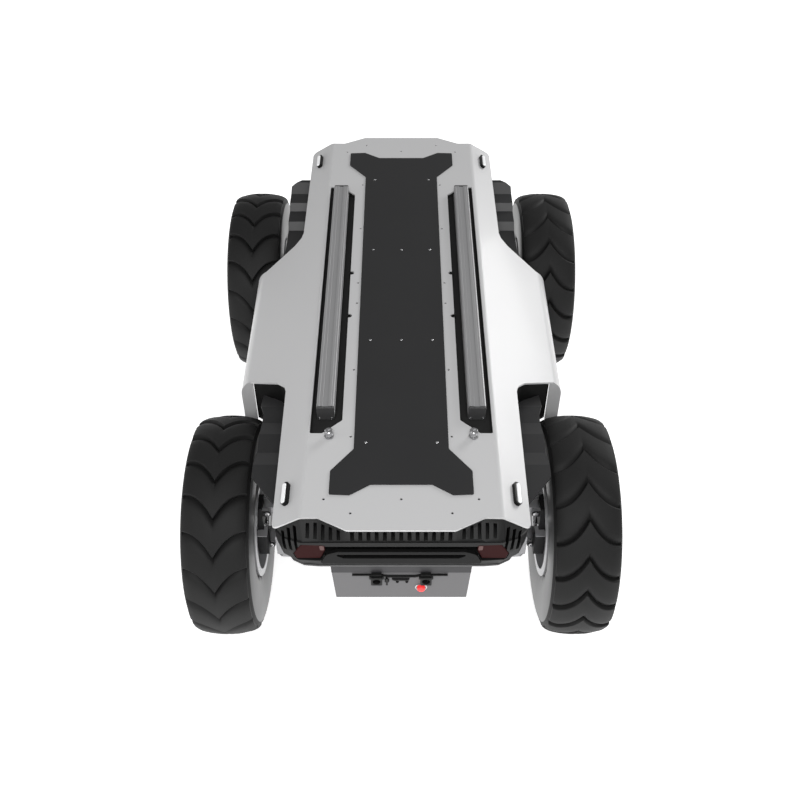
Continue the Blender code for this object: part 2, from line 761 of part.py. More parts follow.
def tyre_shape(side):
    """Tyre about its own centre, with chevron lugs sheared out of the tread; side sets where they point."""
    half = TYRE_W / 2
    outer = [
        (-half + 0.006, 0.0905),
        (-half, 0.138),
        (-half + 0.004, 0.167),
        (-half + 0.020, CARCASS_R),
        (0.0, CARCASS_R),
        (half - 0.020, CARCASS_R),
        (half - 0.004, 0.167),
        (half, 0.138),
        (half - 0.006, 0.0905),
    ]
    inner = [(half - 0.020, 0.0905), (half - 0.016, 0.150), (-half + 0.016, 0.150), (-half + 0.020, 0.0905)]
    tyre = lathe_x("tyre", outer + inner, LUGS * LUG_COLUMNS)
    pitch = 2 * math.pi / LUGS
    for vert in tyre.data.vertices:
        radius = math.hypot(vert.co.y, vert.co.z)
        if radius < 0.152:
            continue
        angle = math.atan2(vert.co.y, vert.co.z)
        column = round(angle / (pitch / LUG_COLUMNS)) % LUG_COLUMNS
        across = abs(vert.co.x) / half
        crown = radius > CARCASS_R - 0.002
        if column:
            radius += TYRE_R - CARCASS_R if crown else LUG_SHOULDER
            angle += (0.10 if column == 1 else -0.10) * pitch
        angle -= side * pitch * across * LUG_SWEEP
        vert.co.y, vert.co.z = radius * math.sin(angle), radius * math.cos(angle)
    return tyre


def rim_shape(side):
    """Rim with hub and stub axle, about the wheel's centre; +side is the outer face."""
    profile = [
        (-RIM_HALF, 0.0770),
        (-RIM_HALF, 0.0898),
        (RIM_HALF, 0.0898),
        (RIM_HALF, 0.0800),
        (0.0300, 0.0790),
        (0.0260, 0.0500),
        (0.0330, 0.0300),
        (0.0330, 0.0060),
        (-0.0530, 0.0060),
        (-0.0530, 0.0120),
        (-0.0060, 0.0120),
        (0.0180, 0.0300),
        (0.0200, 0.0770),
    ]
    return lathe_x("rim", [(side * x, r) for x, r in profile], 20)


# ---------------------------------------------------------------- assembly
def build():
    clear_scene()
    group = make_collection("four_wheel_chassis")
    white = material("painted_white", (0.78, 0.78, 0.79), 0.4)
    black = material("painted_black", (0.035, 0.035, 0.037), 0.5)
    plastic = material("black_plastic", (0.03, 0.03, 0.03), 0.55)
    alloy = material("aluminium", (0.60, 0.61, 0.62), 0.35, 1.0)
    steel = material("bright_steel", (0.70, 0.70, 0.70), 0.25, 1.0)
    grey = material("grey_paint", (0.22, 0.22, 0.23), 0.45)
    rubber = material("rubber", (0.03, 0.03, 0.03), 0.85)
    red = material("red_lens", (0.30, 0.01, 0.01), 0.15)
    clear = material("clear_lens", (0.85, 0.86, 0.88), 0.1)
    signal = material("signal_red", (0.75, 0.03, 0.02), 0.35)
    rim_paint = material("rim_paint", (0.55, 0.56, 0.57), 0.4, 0.6)
    case = material("battery_case", (0.08, 0.10, 0.13), 0.6)

    finish(group, chassis_tub(), black)
    finish(group, top_cover(), white)
    finish(group, deck_plate(), black)
    finish(group, battery_pack(), case)
    finish(group, control_box(), grey)
    finish(group, power_button(), signal, (BUTTON_X, -0.5185, BUTTON_Z))

    sides, ends = {1: "r", -1: "l"}, {1: "front", -1: "rear"}
    for side, s in sides.items():
        for name, obj, mat in (
            ("rail_tray_", rail_tray(side), plastic),
            ("rail_", rail(side), alloy),
            ("deck_stud_", deck_stud(side), steel),
            ("socket_", socket(side), plastic),
        ):
            obj.name = name + s
            finish(group, obj, mat)
    for end, e in ends.items():
        body = bumper(end)
        body.name = "bumper_" + e
        finish(group, body, plastic)
        for side, s in sides.items():
            corner = "_" + e + "_" + s
            lens = clear if end > 0 else red
            for name, obj, mat in (
                ("rail_cap", rail_cap(side, end), plastic),
                ("marker_lamp", marker_lamp(side, end), clear),
                ("end_lamp", end_lamp(side, end), lens),
                ("arch_liner", arch_liner(side, end), plastic),
                ("shock_body", shock_body(side, end), rubber),
            ):
                obj.name = name + corner
                finish(group, obj, mat)
            y, shock_y = end * WHEEL_Y, end * (WHEEL_Y - SHOCK_DY)
            pivots = (
                ("arm_lower", arm("arm", side, end, ARM_LOW_Z, True), alloy, (side * ARM_IN_X, y, ARM_LOW_Z)),
                ("arm_upper", arm("arm", side, end, ARM_UP_Z, False), alloy, (side * ARM_IN_X, y, ARM_UP_Z)),
                ("upright", upright(side, end), black, (side * ARM_OUT_X, y, ARM_LOW_Z)),
                ("shock_rod", shock_rod(side, end), steel, (side * SHOCK_X, shock_y, ARM_LOW_Z)),
            )
            for name, obj, mat, origin in pivots:
                obj.name = name + corner
                finish(group, obj, mat, origin)
            for name, obj, mat in (("tyre", tyre_shape(side), rubber), ("rim", rim_shape(side), rim_paint)):
                obj.name = name + corner
                finish(group, obj, mat, smooth=name == "rim")
                obj.location = (side * TYRE_X[end], y, AXLE_Z)


build()
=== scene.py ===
"""Looks of the four-wheel robot chassis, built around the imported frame. Metres, +Z up, +Y forward."""

import json
import math

import bmesh
import bpy
from mathutils import Matrix, Vector


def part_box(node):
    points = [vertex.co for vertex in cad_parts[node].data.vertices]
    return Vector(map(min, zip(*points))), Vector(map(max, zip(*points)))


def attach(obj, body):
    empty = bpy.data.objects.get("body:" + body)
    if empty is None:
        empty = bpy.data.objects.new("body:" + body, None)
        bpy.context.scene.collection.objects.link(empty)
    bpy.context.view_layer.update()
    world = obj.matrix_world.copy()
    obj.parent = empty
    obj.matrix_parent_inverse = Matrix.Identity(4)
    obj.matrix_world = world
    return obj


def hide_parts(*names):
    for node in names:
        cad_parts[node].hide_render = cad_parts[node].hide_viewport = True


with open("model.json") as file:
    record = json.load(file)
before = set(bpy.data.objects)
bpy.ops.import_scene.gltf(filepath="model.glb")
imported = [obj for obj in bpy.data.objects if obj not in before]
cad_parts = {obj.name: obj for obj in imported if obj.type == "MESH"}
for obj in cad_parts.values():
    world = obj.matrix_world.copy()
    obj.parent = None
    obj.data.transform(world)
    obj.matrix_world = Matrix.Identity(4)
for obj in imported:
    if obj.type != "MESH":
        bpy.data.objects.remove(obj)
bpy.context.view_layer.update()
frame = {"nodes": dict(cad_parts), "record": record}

# ---------------------------------------------------------------- sizes read from the frame
GAP = 0.0003
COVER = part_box("top_cover")
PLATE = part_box("deck_plate")
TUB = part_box("chassis_tub")
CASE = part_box("control_box")
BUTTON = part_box("power_button")
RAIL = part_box("rail_r")
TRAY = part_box("rail_tray_r")
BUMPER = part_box("bumper_rear")
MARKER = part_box("marker_lamp_front_r")
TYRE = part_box("tyre_front_r")
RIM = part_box("rim_front_r")
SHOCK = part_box("shock_body_front_r")
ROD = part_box("shock_rod_front_r")

JOINTS = {joint["name"]: joint for joint in frame["record"]["behaviour"]["joints"]}
ARM_IN = JOINTS["suspension_front_r"]["pos_m"]
ARM_OUT = JOINTS["upright_swing_front_r"]["pos_m"]
HUB = JOINTS["wheel_spin_front_r"]["pos_m"]
WHEEL_Y, AXLE_Z = HUB[1], HUB[2]
ARM_UP_Z = JOINTS["upper_arm_swing_front_r"]["pos_m"][2]

SHEET = 0.003
DECK_Z = COVER[1][2]
END_Y = COVER[1][1]
SKIRT_X = COVER[1][0]
SKIRT_LOW_Z = COVER[0][2]
BEND_X = 0.148  # where the cover turns from the deck down its slanted side
SLOPE = 0.62
STRIP_X = 0.192  # side edge of the cover beside the wheels
TYRE_R = (TYRE[1][2] - TYRE[0][2]) / 2
TYRE_HALF = (TYRE[1][0] - TYRE[0][0]) / 2
RIM_HALF = (RIM[1][0] - RIM[0][0]) / 2
LINER_IN_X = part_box("arch_liner_front_r")[0][0]

SIDES = {1: "r", -1: "l"}
ENDS = {1: "front", -1: "rear"}
CORNERS = [(side, end, "%s_%s" % (e, s)) for side, s in SIDES.items() for end, e in ENDS.items()]


def slope_z(x):
    """Height of the cover's upper face at a distance x from the middle."""
    return DECK_Z - max(0.0, abs(x) - BEND_X) * SLOPE


# ---------------------------------------------------------------- materials
def surface(name, colour, roughness, metallic=0.0, spread=0.06, blotch=9.0, grain=900.0, bump=0.05,
            rough_spread=0.06, coat=0.0, streak=None, specular=0.5, emission=None, glow=0.0):
    """Principled material with cloudy colour and roughness, and a fine grain that lifts the surface."""
    mat = bpy.data.materials.new(name)
    mat.use_nodes = True
    nodes, links = mat.node_tree.nodes, mat.node_tree.links
    shader = nodes["Principled BSDF"]

    def settings(node, values):
        for key, value in values.items():
            node.inputs[key].default_value = value

    def feed(kind, source, socket, values):
        node = nodes.new("ShaderNode" + kind)
        settings(node, values)
        links.new(source, node.inputs[socket])
        return node

    settings(shader, {"Metallic": metallic, "Specular IOR Level": specular})
    settings(shader, {"Coat Weight": coat, "Coat Roughness": 0.08})
    if emission:
        settings(shader, {"Emission Color": (*emission, 1.0), "Emission Strength": glow})
    place = fine_place = nodes.new("ShaderNodeTexCoord").outputs["Object"]
    if streak:
        fine_place = feed("Mapping", place, "Vector", {"Scale": streak}).outputs["Vector"]
    cloud = feed("TexNoise", place, "Vector", {"Scale": blotch, "Detail": 5.0})
    fine = feed("TexNoise", fine_place, "Vector", {"Scale": grain, "Detail": 3.0})

    blend = nodes.new("ShaderNodeMix")
    blend.data_type = "RGBA"
    dark = [channel * (1.0 - spread) for channel in colour]
    light = [min(1.0, channel * (1.0 + spread)) for channel in colour]
    settings(blend, {"A": (*dark, 1.0), "B": (*light, 1.0)})
    both = nodes.new("ShaderNodeMath")
    both.operation = "MULTIPLY_ADD"
    links.new(cloud.outputs["Fac"], both.inputs[0])
    both.inputs[1].default_value = 0.6
    share = nodes.new("ShaderNodeMath")
    share.operation = "MULTIPLY"
    links.new(fine.outputs["Fac"], share.inputs[0])
    share.inputs[1].default_value = 0.4
    links.new(share.outputs["Value"], both.inputs[2])
    links.new(both.outputs["Value"], blend.inputs["Factor"])
    links.new(blend.outputs["Result"], shader.inputs["Base Color"])

    limits = {"To Min": max(0.02, roughness - rough_spread), "To Max": min(1.0, roughness + rough_spread)}
    span = feed("MapRange", both.outputs["Value"], "Value", {"From Min": 0.3, "From Max": 0.7, **limits})
    links.new(span.outputs["Result"], shader.inputs["Roughness"])
    lift = feed("Bump", fine.outputs["Fac"], "Height", {"Strength": bump, "Distance": 0.0004})
    links.new(lift.outputs["Normal"], shader.inputs["Normal"])
    return mat


MOULDED = {"spread": 0.12, "grain": 1500.0, "bump": 0.16}
MAT = {
    "white": surface("cover_paint", (0.625, 0.625, 0.63), 0.36, spread=0.02, blotch=4.0, grain=1400.0,
                     coat=0.12),
    "plate": surface("plate_coat", (0.026, 0.026, 0.027), 0.5, spread=0.1, grain=2200.0, bump=0.2,
                     specular=0.3),
    "tub": surface("tub_coat", (0.016, 0.016, 0.017), 0.48, spread=0.12, grain=1800.0, bump=0.2,
                   specular=0.25),
    "liner": surface("liner_plastic", (0.03, 0.03, 0.031), 0.5, specular=0.3, **MOULDED),
    # Lighter copies of the liner plastic for the sloped step faces of the front and rear guards: painted light
    # on the risers.
    "step": surface("liner_step_plastic", (0.105, 0.105, 0.106), 0.45, specular=0.3, **MOULDED),
    "ramp": surface("liner_ramp_plastic", (0.04, 0.04, 0.041), 0.42, specular=0.4, **MOULDED),
    # Near-black copy of the liner plastic for the walls that close the bulges: painted shade of the deep
    # cavity.
    "wall_black": surface("wall_plastic", (0.006, 0.006, 0.006), 0.6, spread=0.12, grain=1500.0, bump=0.1,
                          specular=0.1),
    "plastic": surface("moulded_plastic", (0.012, 0.012, 0.012), 0.42, spread=0.14, grain=1500.0, bump=0.16,
                       specular=0.18),
    "cap": surface("end_cap_plastic", (0.06, 0.06, 0.061), 0.4, spread=0.08, grain=1500.0, bump=0.12),
    "gloss": surface("gloss_plastic", (0.009, 0.009, 0.009), 0.24, spread=0.1, grain=600.0, bump=0.02,
                     specular=0.1),
    "fascia": surface("grille_plastic", (0.018, 0.018, 0.018), 0.45, specular=0.2, **MOULDED),
    # Light grey for the strip under the bumpers' foot: a painted highlight along the lower edge.
    "edge": surface("edge_plastic", (0.085, 0.085, 0.086), 0.34, spread=0.08, grain=1200.0, bump=0.1),
    # Lighter pink for a patch in the rear lamps: a painted highlight.
    "pink": surface("reflector_red", (0.13, 0.068, 0.064), 0.2, spread=0.1, grain=400.0, bump=0.02,
                    specular=0.2),
    # Near-black for the rail recesses, and for the discs in the deck holes and the sheet behind the grille
    # slots, which are painted shade of those hollows.
    "void": surface("dark_lining", (0.024, 0.024, 0.024), 0.75, spread=0.2, grain=900.0, bump=0.1,
                    specular=0.15),
    "rail": surface("anodised_rail", (0.36, 0.36, 0.365), 0.42, 0.35, spread=0.06, blotch=6.0, grain=2600.0,
                    bump=0.1,
                    streak=(1.0, 0.02, 1.0)),
    "arm": surface("cast_arm", (0.4, 0.4, 0.41), 0.36, 0.25, spread=0.1, grain=1300.0, bump=0.18),
    "steel": surface("plated_steel", (0.55, 0.55, 0.56), 0.24, 1.0, spread=0.06, grain=1500.0, bump=0.05),
    "dark_screw": surface("blackened_screw", (0.05, 0.05, 0.052), 0.4, 0.4, spread=0.1, grain=1500.0,
                          bump=0.1),
    "box": surface("box_paint", (0.152, 0.15, 0.154), 0.42, spread=0.05, grain=1800.0, bump=0.12,
                   specular=0.3),
    # Darker grey for the band across the top of the box's rear face.
    "lip": surface("box_lip", (0.038, 0.037, 0.04), 0.42, spread=0.06, grain=1800.0, bump=0.12, specular=0.3),
    "tread": surface("tread_rubber", (0.0135, 0.0135, 0.0135), 0.62, spread=0.16, blotch=14.0, grain=1100.0,
                     bump=0.3,
                     specular=0.25),
    # Sidewall rubber much lighter than the tread: a painted sheen of the glancing reflection on the sidewalls.
    "wall": surface("sidewall_rubber", (0.088, 0.088, 0.089), 0.38, spread=0.1, blotch=10.0, grain=900.0,
                    bump=0.08,
                    specular=0.6),
    "rim": surface("rim_paint", (0.5, 0.5, 0.51), 0.3, 0.3, spread=0.05, grain=1300.0, bump=0.05),
    "rubber": surface("boot_rubber", (0.016, 0.016, 0.016), 0.6, spread=0.15, grain=900.0, bump=0.2,
                      specular=0.2),
    "red": surface("red_lens", (0.036, 0.01, 0.01), 0.3, spread=0.15, grain=300.0, bump=0.02, specular=0.03),
    "clear": surface("clear_lens", (0.45, 0.46, 0.48), 0.14, spread=0.06, grain=300.0, bump=0.02, coat=0.4),
    "lens": surface("marker_lens", (0.66, 0.67, 0.68), 0.16, spread=0.03, grain=400.0, bump=0.02, coat=0.3,
                    emission=(1.0, 1.0, 1.0), glow=0.35),
    "button": surface("button_red", (0.75, 0.03, 0.03), 0.32, spread=0.06, grain=700.0, bump=0.04,
                      emission=(1.0, 0.05, 0.05), glow=0.55),
    "battery": surface("battery_case", (0.08, 0.1, 0.13), 0.55, spread=0.1, grain=900.0, bump=0.15),
}


# ---------------------------------------------------------------- mesh tools
def mesh_object(name, bm):
    """Turns the bmesh into an object, with doubled points merged and faces turned outwards."""
    bmesh.ops.remove_doubles(bm, verts=bm.verts, dist=0.000005)
    bmesh.ops.recalc_face_normals(bm, faces=bm.faces)
    mesh = bpy.data.meshes.new(name)
    bm.to_mesh(mesh)
    bm.free()
    obj = bpy.data.objects.new(name, mesh)
    bpy.context.scene.collection.objects.link(obj)
    return obj


def extrude(bm, points, offset):
    """Adds the solid between the closed outline and the same outline moved by the offset."""
    face = bm.faces.new([bm.verts.new(point) for point in points])
    made = bmesh.ops.extrude_face_region(bm, geom=[face])["geom"]
    verts = [item for item in made if isinstance(item, bmesh.types.BMVert)]
    bmesh.ops.translate(bm, verts=verts, vec=offset)


def prism(name, axis, outline, a, b):
    """The outline, in the other two axes taken in X, Y, Z order, pushed from a to b along the axis."""
    a, b = min(a, b), max(a, b)
    place = {"X": lambda u, v: (a, u, v), "Y": lambda u, v: (u, a, v), "Z": lambda u, v: (u, v, a)}[axis]
    push = {"X": (b - a, 0, 0), "Y": (0, b - a, 0), "Z": (0, 0, b - a)}[axis]
    bm = bmesh.new()
    extrude(bm, [place(u, v) for u, v in outline], push)
    return mesh_object(name, bm)


def box(name, x0, x1, y0, y1, z0, z1):
    x0, x1 = sorted((x0, x1))
    y0, y1 = sorted((y0, y1))
    return prism(name, "Z", [(x0, y0), (x1, y0), (x1, y1), (x0, y1)], z0, z1)


def cylinder(name, centre, radius, length, axis="Z", segments=32, radius_end=None):
    bm = bmesh.new()
    turn = {"X": Matrix.Rotation(math.pi / 2, 4, "Y"), "Y": Matrix.Rotation(-math.pi / 2, 4, "X")}
    bmesh.ops.create_cone(
        bm, cap_ends=True, segments=segments, radius1=radius,
        radius2=radius if radius_end is None else radius_end, depth=length,
        matrix=Matrix.Translation(centre) @ turn.get(axis, Matrix.Identity(4)),
    )
    return mesh_object(name, bm)


def turned(bm, profile, steps, matrix):
    """Adds a closed (height, radius) profile, turned about its height axis, where the matrix puts it."""
    verts = [bm.verts.new((r, 0, h)) for h, r in profile]
    edges = [bm.edges.new((a, b)) for a, b in zip(verts, verts[1:] + verts[:1])]
    made = bmesh.ops.spin(bm, geom=verts + edges, cent=(0, 0, 0), axis=(0, 0, 1), angle=2 * math.pi,
                          steps=steps, use_merge=True)
    seen = set(verts) | {v for v in made["geom_last"] if isinstance(v, bmesh.types.BMVert)}
    work = list(seen)
    while work:
        vert = work.pop()
        for edge in vert.link_edges:
            other = edge.other_vert(vert)
            if other not in seen:
                seen.add(other)
                work.append(other)
    bmesh.ops.transform(bm, matrix=matrix, verts=list(seen))


def lathe(name, profile, steps=48, matrix=Matrix.Identity(4)):
    bm = bmesh.new()
    turned(bm, profile, steps, matrix)
    return mesh_object(name, bm)


def along(centre, direction):
    """Matrix that carries +Z to the direction and the origin to the centre."""
    return Matrix.Translation(centre) @ Vector(direction).to_track_quat("Z", "Y").to_matrix().to_4x4()


def apply_all(obj):
    """Writes the modifiers' result into the object's own mesh."""
    bpy.context.view_layer.update()
    graph = bpy.context.evaluated_depsgraph_get()
    mesh = bpy.data.meshes.new_from_object(obj.evaluated_get(graph))
    obj.modifiers.clear()
    obj.data = mesh


def boolean(obj, tool, operation):
    modifier = obj.modifiers.new(operation, "BOOLEAN")
    modifier.operation = operation
    modifier.solver = "EXACT"
    modifier.object = tool
    apply_all(obj)
    bpy.data.objects.remove(tool, do_unlink=True)


def cut(obj, *tools):
    for tool in tools:
        boolean(obj, tool, "DIFFERENCE")


def join(obj, *tools):
    for tool in tools:
        boolean(obj, tool, "UNION")


def soften(obj, width, segments=2, angle=32.0):
    """Rounds the edges sharper than the angle, in degrees."""
    modifier = obj.modifiers.new("Edges", "BEVEL")
    modifier.width = width
    modifier.segments = segments
    modifier.limit_method = "ANGLE"
    modifier.angle_limit = math.radians(angle)
    modifier.use_clamp_overlap = True
    apply_all(obj)


def place(obj, body, mat, nodes=(), smooth=35.0, slot=None):
    """Shades the piece, gives it its material, ties it to its body, and hides the CAD nodes it stands for."""
    obj.data.materials.clear()
    obj.data.materials.append(MAT[mat])
    for face in obj.data.polygons:
        face.use_smooth = True
    obj.data.set_sharp_from_angle(angle=math.radians(smooth))
    modifier = obj.modifiers.new("Normals", "WEIGHTED_NORMAL")
    modifier.keep_sharp = True
    apply_all(obj)
    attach(obj, body)
    if nodes:
        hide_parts(*nodes)
    return obj


def repaint(name, mat):
    """Gives a CAD node that is shown as it is one of the materials here."""
    materials = frame["nodes"][name].data.materials
    materials.clear()
    materials.append(MAT[mat])


def set_out(points, side, y):
    """Plan of the right-hand piece at y = 0, on its own side and at its own y."""
    return [(side * x, y + dy) for x, dy in points]


def rounded(points, radius, closed=True, steps=4):
    """The path with each corner turned into an arc; radius is one number, or one for each point."""
    count = len(points)
    radii = radius if isinstance(radius, (list, tuple)) else [radius] * count
    out = []
    for index, point in enumerate(points):
        if radii[index] <= 0 or (not closed and index in (0, count - 1)):
            out.append(tuple(point))
            continue
        here = Vector(point)
        back = Vector(points[index - 1]) - here
        ahead = Vector(points[(index + 1) % count]) - here
        between = back.angle(ahead, math.pi)
        if between > math.radians(178):
            reach = min(radii[index], back.length * 0.4, ahead.length * 0.4)
            first, last = here + back.normalized() * reach, here + ahead.normalized() * reach
            out += [tuple(first.lerp(last, step / steps)) for step in range(steps + 1)]
            continue
        reach = min(radii[index] / math.tan(between / 2), back.length * 0.48, ahead.length * 0.48)
        size = reach * math.tan(between / 2)
        middle = here + (back.normalized() + ahead.normalized()).normalized() * (size / math.sin(between / 2))
        first = here + back.normalized() * reach - middle
        last = here + ahead.normalized() * reach - middle
        turn = first.angle_signed(last) if len(point) == 2 else 0.0
        for step in range(steps + 1):
            angle = -turn * step / steps
            c, s = math.cos(angle), math.sin(angle)
            out.append((middle.x + first.x * c - first.y * s, middle.y + first.x * s + first.y * c))
    return out


def offset_in(points, distance):
    """The open path moved sideways, to the right of the way it runs."""
    normals = []
    for a, b in zip(points, points[1:]):
        du, dv = b[0] - a[0], b[1] - a[1]
        size = math.hypot(du, dv)
        normals.append((dv / size, -du / size))
    moved = []
    for index, point in enumerate(points):
        before = normals[max(index - 1, 0)]
        after = normals[min(index, len(normals) - 1)]
        nu, nv = before[0] + after[0], before[1] + after[1]
        scale = distance * 2 / (nu * nu + nv * nv)
        moved.append((point[0] + nu * scale, point[1] + nv * scale))
    return moved


def four_ways(quarter):
    """Closed outline from the points of the +X, +Y quarter, listed from the side to the end."""
    right = quarter + [(-x, y) for x, y in reversed(quarter)]
    return right + [(-x, -y) for x, y in right]


def screws(name, spots, radius, height, body, mat="steel"):
    """Round-headed socket screws, all in one mesh; each spot is (centre, direction)."""
    profile = [(0.0, 0.0), (0.0, radius), (height * 0.55, radius), (height * 0.9, radius * 0.8),
               (height, radius * 0.55), (height * 0.45, radius * 0.48), (height * 0.4, 0.0)]
    bm = bmesh.new()
    for centre, direction in spots:
        turned(bm, profile, 18, along(centre, direction))
    return place(mesh_object(name, bm), body, mat, smooth=40.0, slot="bright_steel")


def holes(spots, radius, depth):
    """One cutter of upright round holes."""
    bm = bmesh.new()
    for x, y, z in spots:
        bmesh.ops.create_cone(bm, cap_ends=True, segments=16, radius1=radius, radius2=radius, depth=depth,
                              matrix=Matrix.Translation((x, y, z)))
    return mesh_object("holes", bm)


# ---------------------------------------------------------------- cover, deck plate, rails
def recess_outline(side):
    x_out, x_in = TRAY[1][0] - 0.0002, TRAY[0][0] + 0.0017
    y_end = TRAY[1][1] - 0.0017
    half = [(x_out, y_end), (x_out - 0.0195, y_end), (x_in, y_end - 0.028)]
    points = half + [(x, -y) for x, y in reversed(half)]
    return rounded([(side * x, y) for x, y in points], 0.003)


NOTCHES = [(sx * (TRAY[0][0] + 0.0005), sy * 0.06) for sx in (1, -1) for sy in (1, -1)]
DECK_HOLES = [(sx * 0.114, sy * 0.471) for sx in (1, -1) for sy in (1, -1)]
DECK_HOLES += [(0.0, -0.471), (0.0, 0.474)]
DECK_HOLES += [(sx * 0.074, sy * 0.497) for sx in (1, -1) for sy in (1, -1)]
DECK_HOLES += [(sx * 0.0785, y) for sx in (1, -1) for y in (-0.347, -0.197, -0.026, 0.031, 0.197, 0.347)]


BULGE_END_Y = 0.1535
FLANGE_IN_X = 0.2585
# Quarter plan of the cover, from the bulge's side to the middle of the end, with the radius at each point.
COVER_PLAN = ((SKIRT_X + 0.02, BULGE_END_Y), (0.264, BULGE_END_Y), (0.208, 0.191), (0.1955, 0.2064),
              (STRIP_X, 0.22), (STRIP_X - 0.002, 0.506), (0.121, 0.505), (0.078, END_Y))
COVER_RADII = [0, 0.002, 0.012, 0.01, 0.012, 0.01, 0.006, 0.006]
DECK_HOLE_R = 0.002
NOTCH_R = 0.0052
PAST_ENDS = 0.6  # beyond the cover's ends


def cover_path():
    """Outer face of the cover's right half, from the middle of the deck to the bottom of the bulge."""
    return rounded([(0.0, DECK_Z), (BEND_X, DECK_Z), (SKIRT_X, slope_z(SKIRT_X)), (SKIRT_X, SKIRT_LOW_Z)],
                   [0, 0.016, 0.034, 0], closed=False, steps=8)


def cover_section(inset):
    """Solid that fills the cover's section, this far inside its outer face."""
    right = offset_in(cover_path(), inset)[1:]
    return prism("section", "Y", right + [(-x, z) for x, z in reversed(right)], -PAST_ENDS, PAST_ENDS)


def build_cover():
    outer = cover_path()
    inner = offset_in(outer, SHEET)
    right = outer[1:] + list(reversed(inner[1:]))
    cover = prism("cover_skin", "Y", right + [(-x, z) for x, z in reversed(right)], -PAST_ENDS, PAST_ENDS)
    right_end = list(COVER_PLAN) + [(-x, y) for x, y in reversed(COVER_PLAN)]
    outline = right_end + [(-x, -y) for x, y in right_end]
    radii = (COVER_RADII + COVER_RADII[::-1]) * 2
    boolean(cover, prism("plan", "Z", rounded(outline, radii, steps=6), 0.2, 0.5), "INTERSECT")
    for side in SIDES:
        cut(cover, prism("recess", "Z", recess_outline(side), 0.39, 0.45))
        for end in ENDS:
            flange = box("flange", side * FLANGE_IN_X, side * SKIRT_X, end * (BULGE_END_Y - SHEET),
                         end * BULGE_END_Y,
                         SKIRT_LOW_Z, DECK_Z)
            boolean(flange, cover_section(0.0004), "INTERSECT")
            join(cover, flange)
    cut(cover, holes([(x, y, DECK_Z) for x, y in NOTCHES], NOTCH_R, 0.03))
    cut(cover, holes([(x, y, DECK_Z) for x, y in DECK_HOLES], DECK_HOLE_R, 0.03))
    soften(cover, 0.0006, 2, 40.0)
    place(cover, "chassis", "white", ["top_cover"], smooth=30.0)
    # Dark discs sunk in the deck holes: painted shade of the holes.
    spots = [((x, y, DECK_Z - SHEET * 0.9), (0, 0, 1)) for x, y in DECK_HOLES]
    screws("deck_hole_plugs", spots, DECK_HOLE_R - 0.0002, 0.0016, "chassis", "void")
    spots = [((x, y, DECK_Z - SHEET), (0, 0, 1)) for x, y in NOTCHES]
    screws("notch_screws", spots, 0.0042, 0.003, "chassis", "plastic")


def build_plate():
    x1, y1 = PLATE[1][0], PLATE[1][1]
    quarter = [(0.073, y1 - 0.0905), (x1, y1 - 0.0465), (x1, y1 - 0.0015), (0.0765, y1), (0.046, y1 - 0.02)]
    plate = prism("plate_sheet", "Z", rounded(four_ways(quarter), 0.0025), PLATE[0][2], PLATE[1][2])
    soften(plate, 0.0005)
    place(plate, "chassis", "plate", ["deck_plate"])
    top = PLATE[1][2] - 0.0001
    spots = [(sx * 0.055, sy * 0.3615) for sx in (1, -1) for sy in (1, -1)]
    spots += [(sx * 0.053, sy * 0.1265) for sx in (1, 0, -1) for sy in (1, -1)]
    screws("plate_screws", [((x, y, top), (0, 0, 1)) for x, y in spots], 0.0022, 0.0012, "chassis")


def slot_section(half):
    """Extrusion section: round corners, a slot closed by a strip just under each face, two fine grooves."""
    lip, strip = half - 0.0003, half - 0.0012
    face = [(-half, half - 0.0018), (-half + 0.0006, half - 0.0006), (-half + 0.0018, half),
            (-0.0098, half), (-0.0094, lip), (-0.009, half), (-0.0044, half), (-0.0041, lip), (-0.0041, strip),
            (0.0041, strip), (0.0041, lip), (0.0044, half), (0.009, half), (0.0094, lip), (0.0098, half),
            (half - 0.0018, half), (half - 0.0006, half - 0.0006)]
    points = []
    for quarter in range(4):
        c, s = round(math.cos(quarter * math.pi / 2)), round(math.sin(quarter * math.pi / 2))
        points += [(x * c + z * s, -x * s + z * c) for x, z in face]
    return points


RAIL_CORNER = 0.0025
CAP_SCREW_X, CAP_SCREW_DROP = 0.0098, 0.0095
STUD_PROFILE = ((0.0, 0.0), (0.0, 0.0072), (0.001, 0.0076), (0.0022, 0.0072), (0.0026, 0.0056),
                (0.008, 0.0054),
                (0.0086, 0.0064), (0.0132, 0.0064), (0.0145, 0.0052), (0.0145, 0.0026), (0.0126,
                                                                                         0.0022), (0.0126,
                                                                                                   0.0))


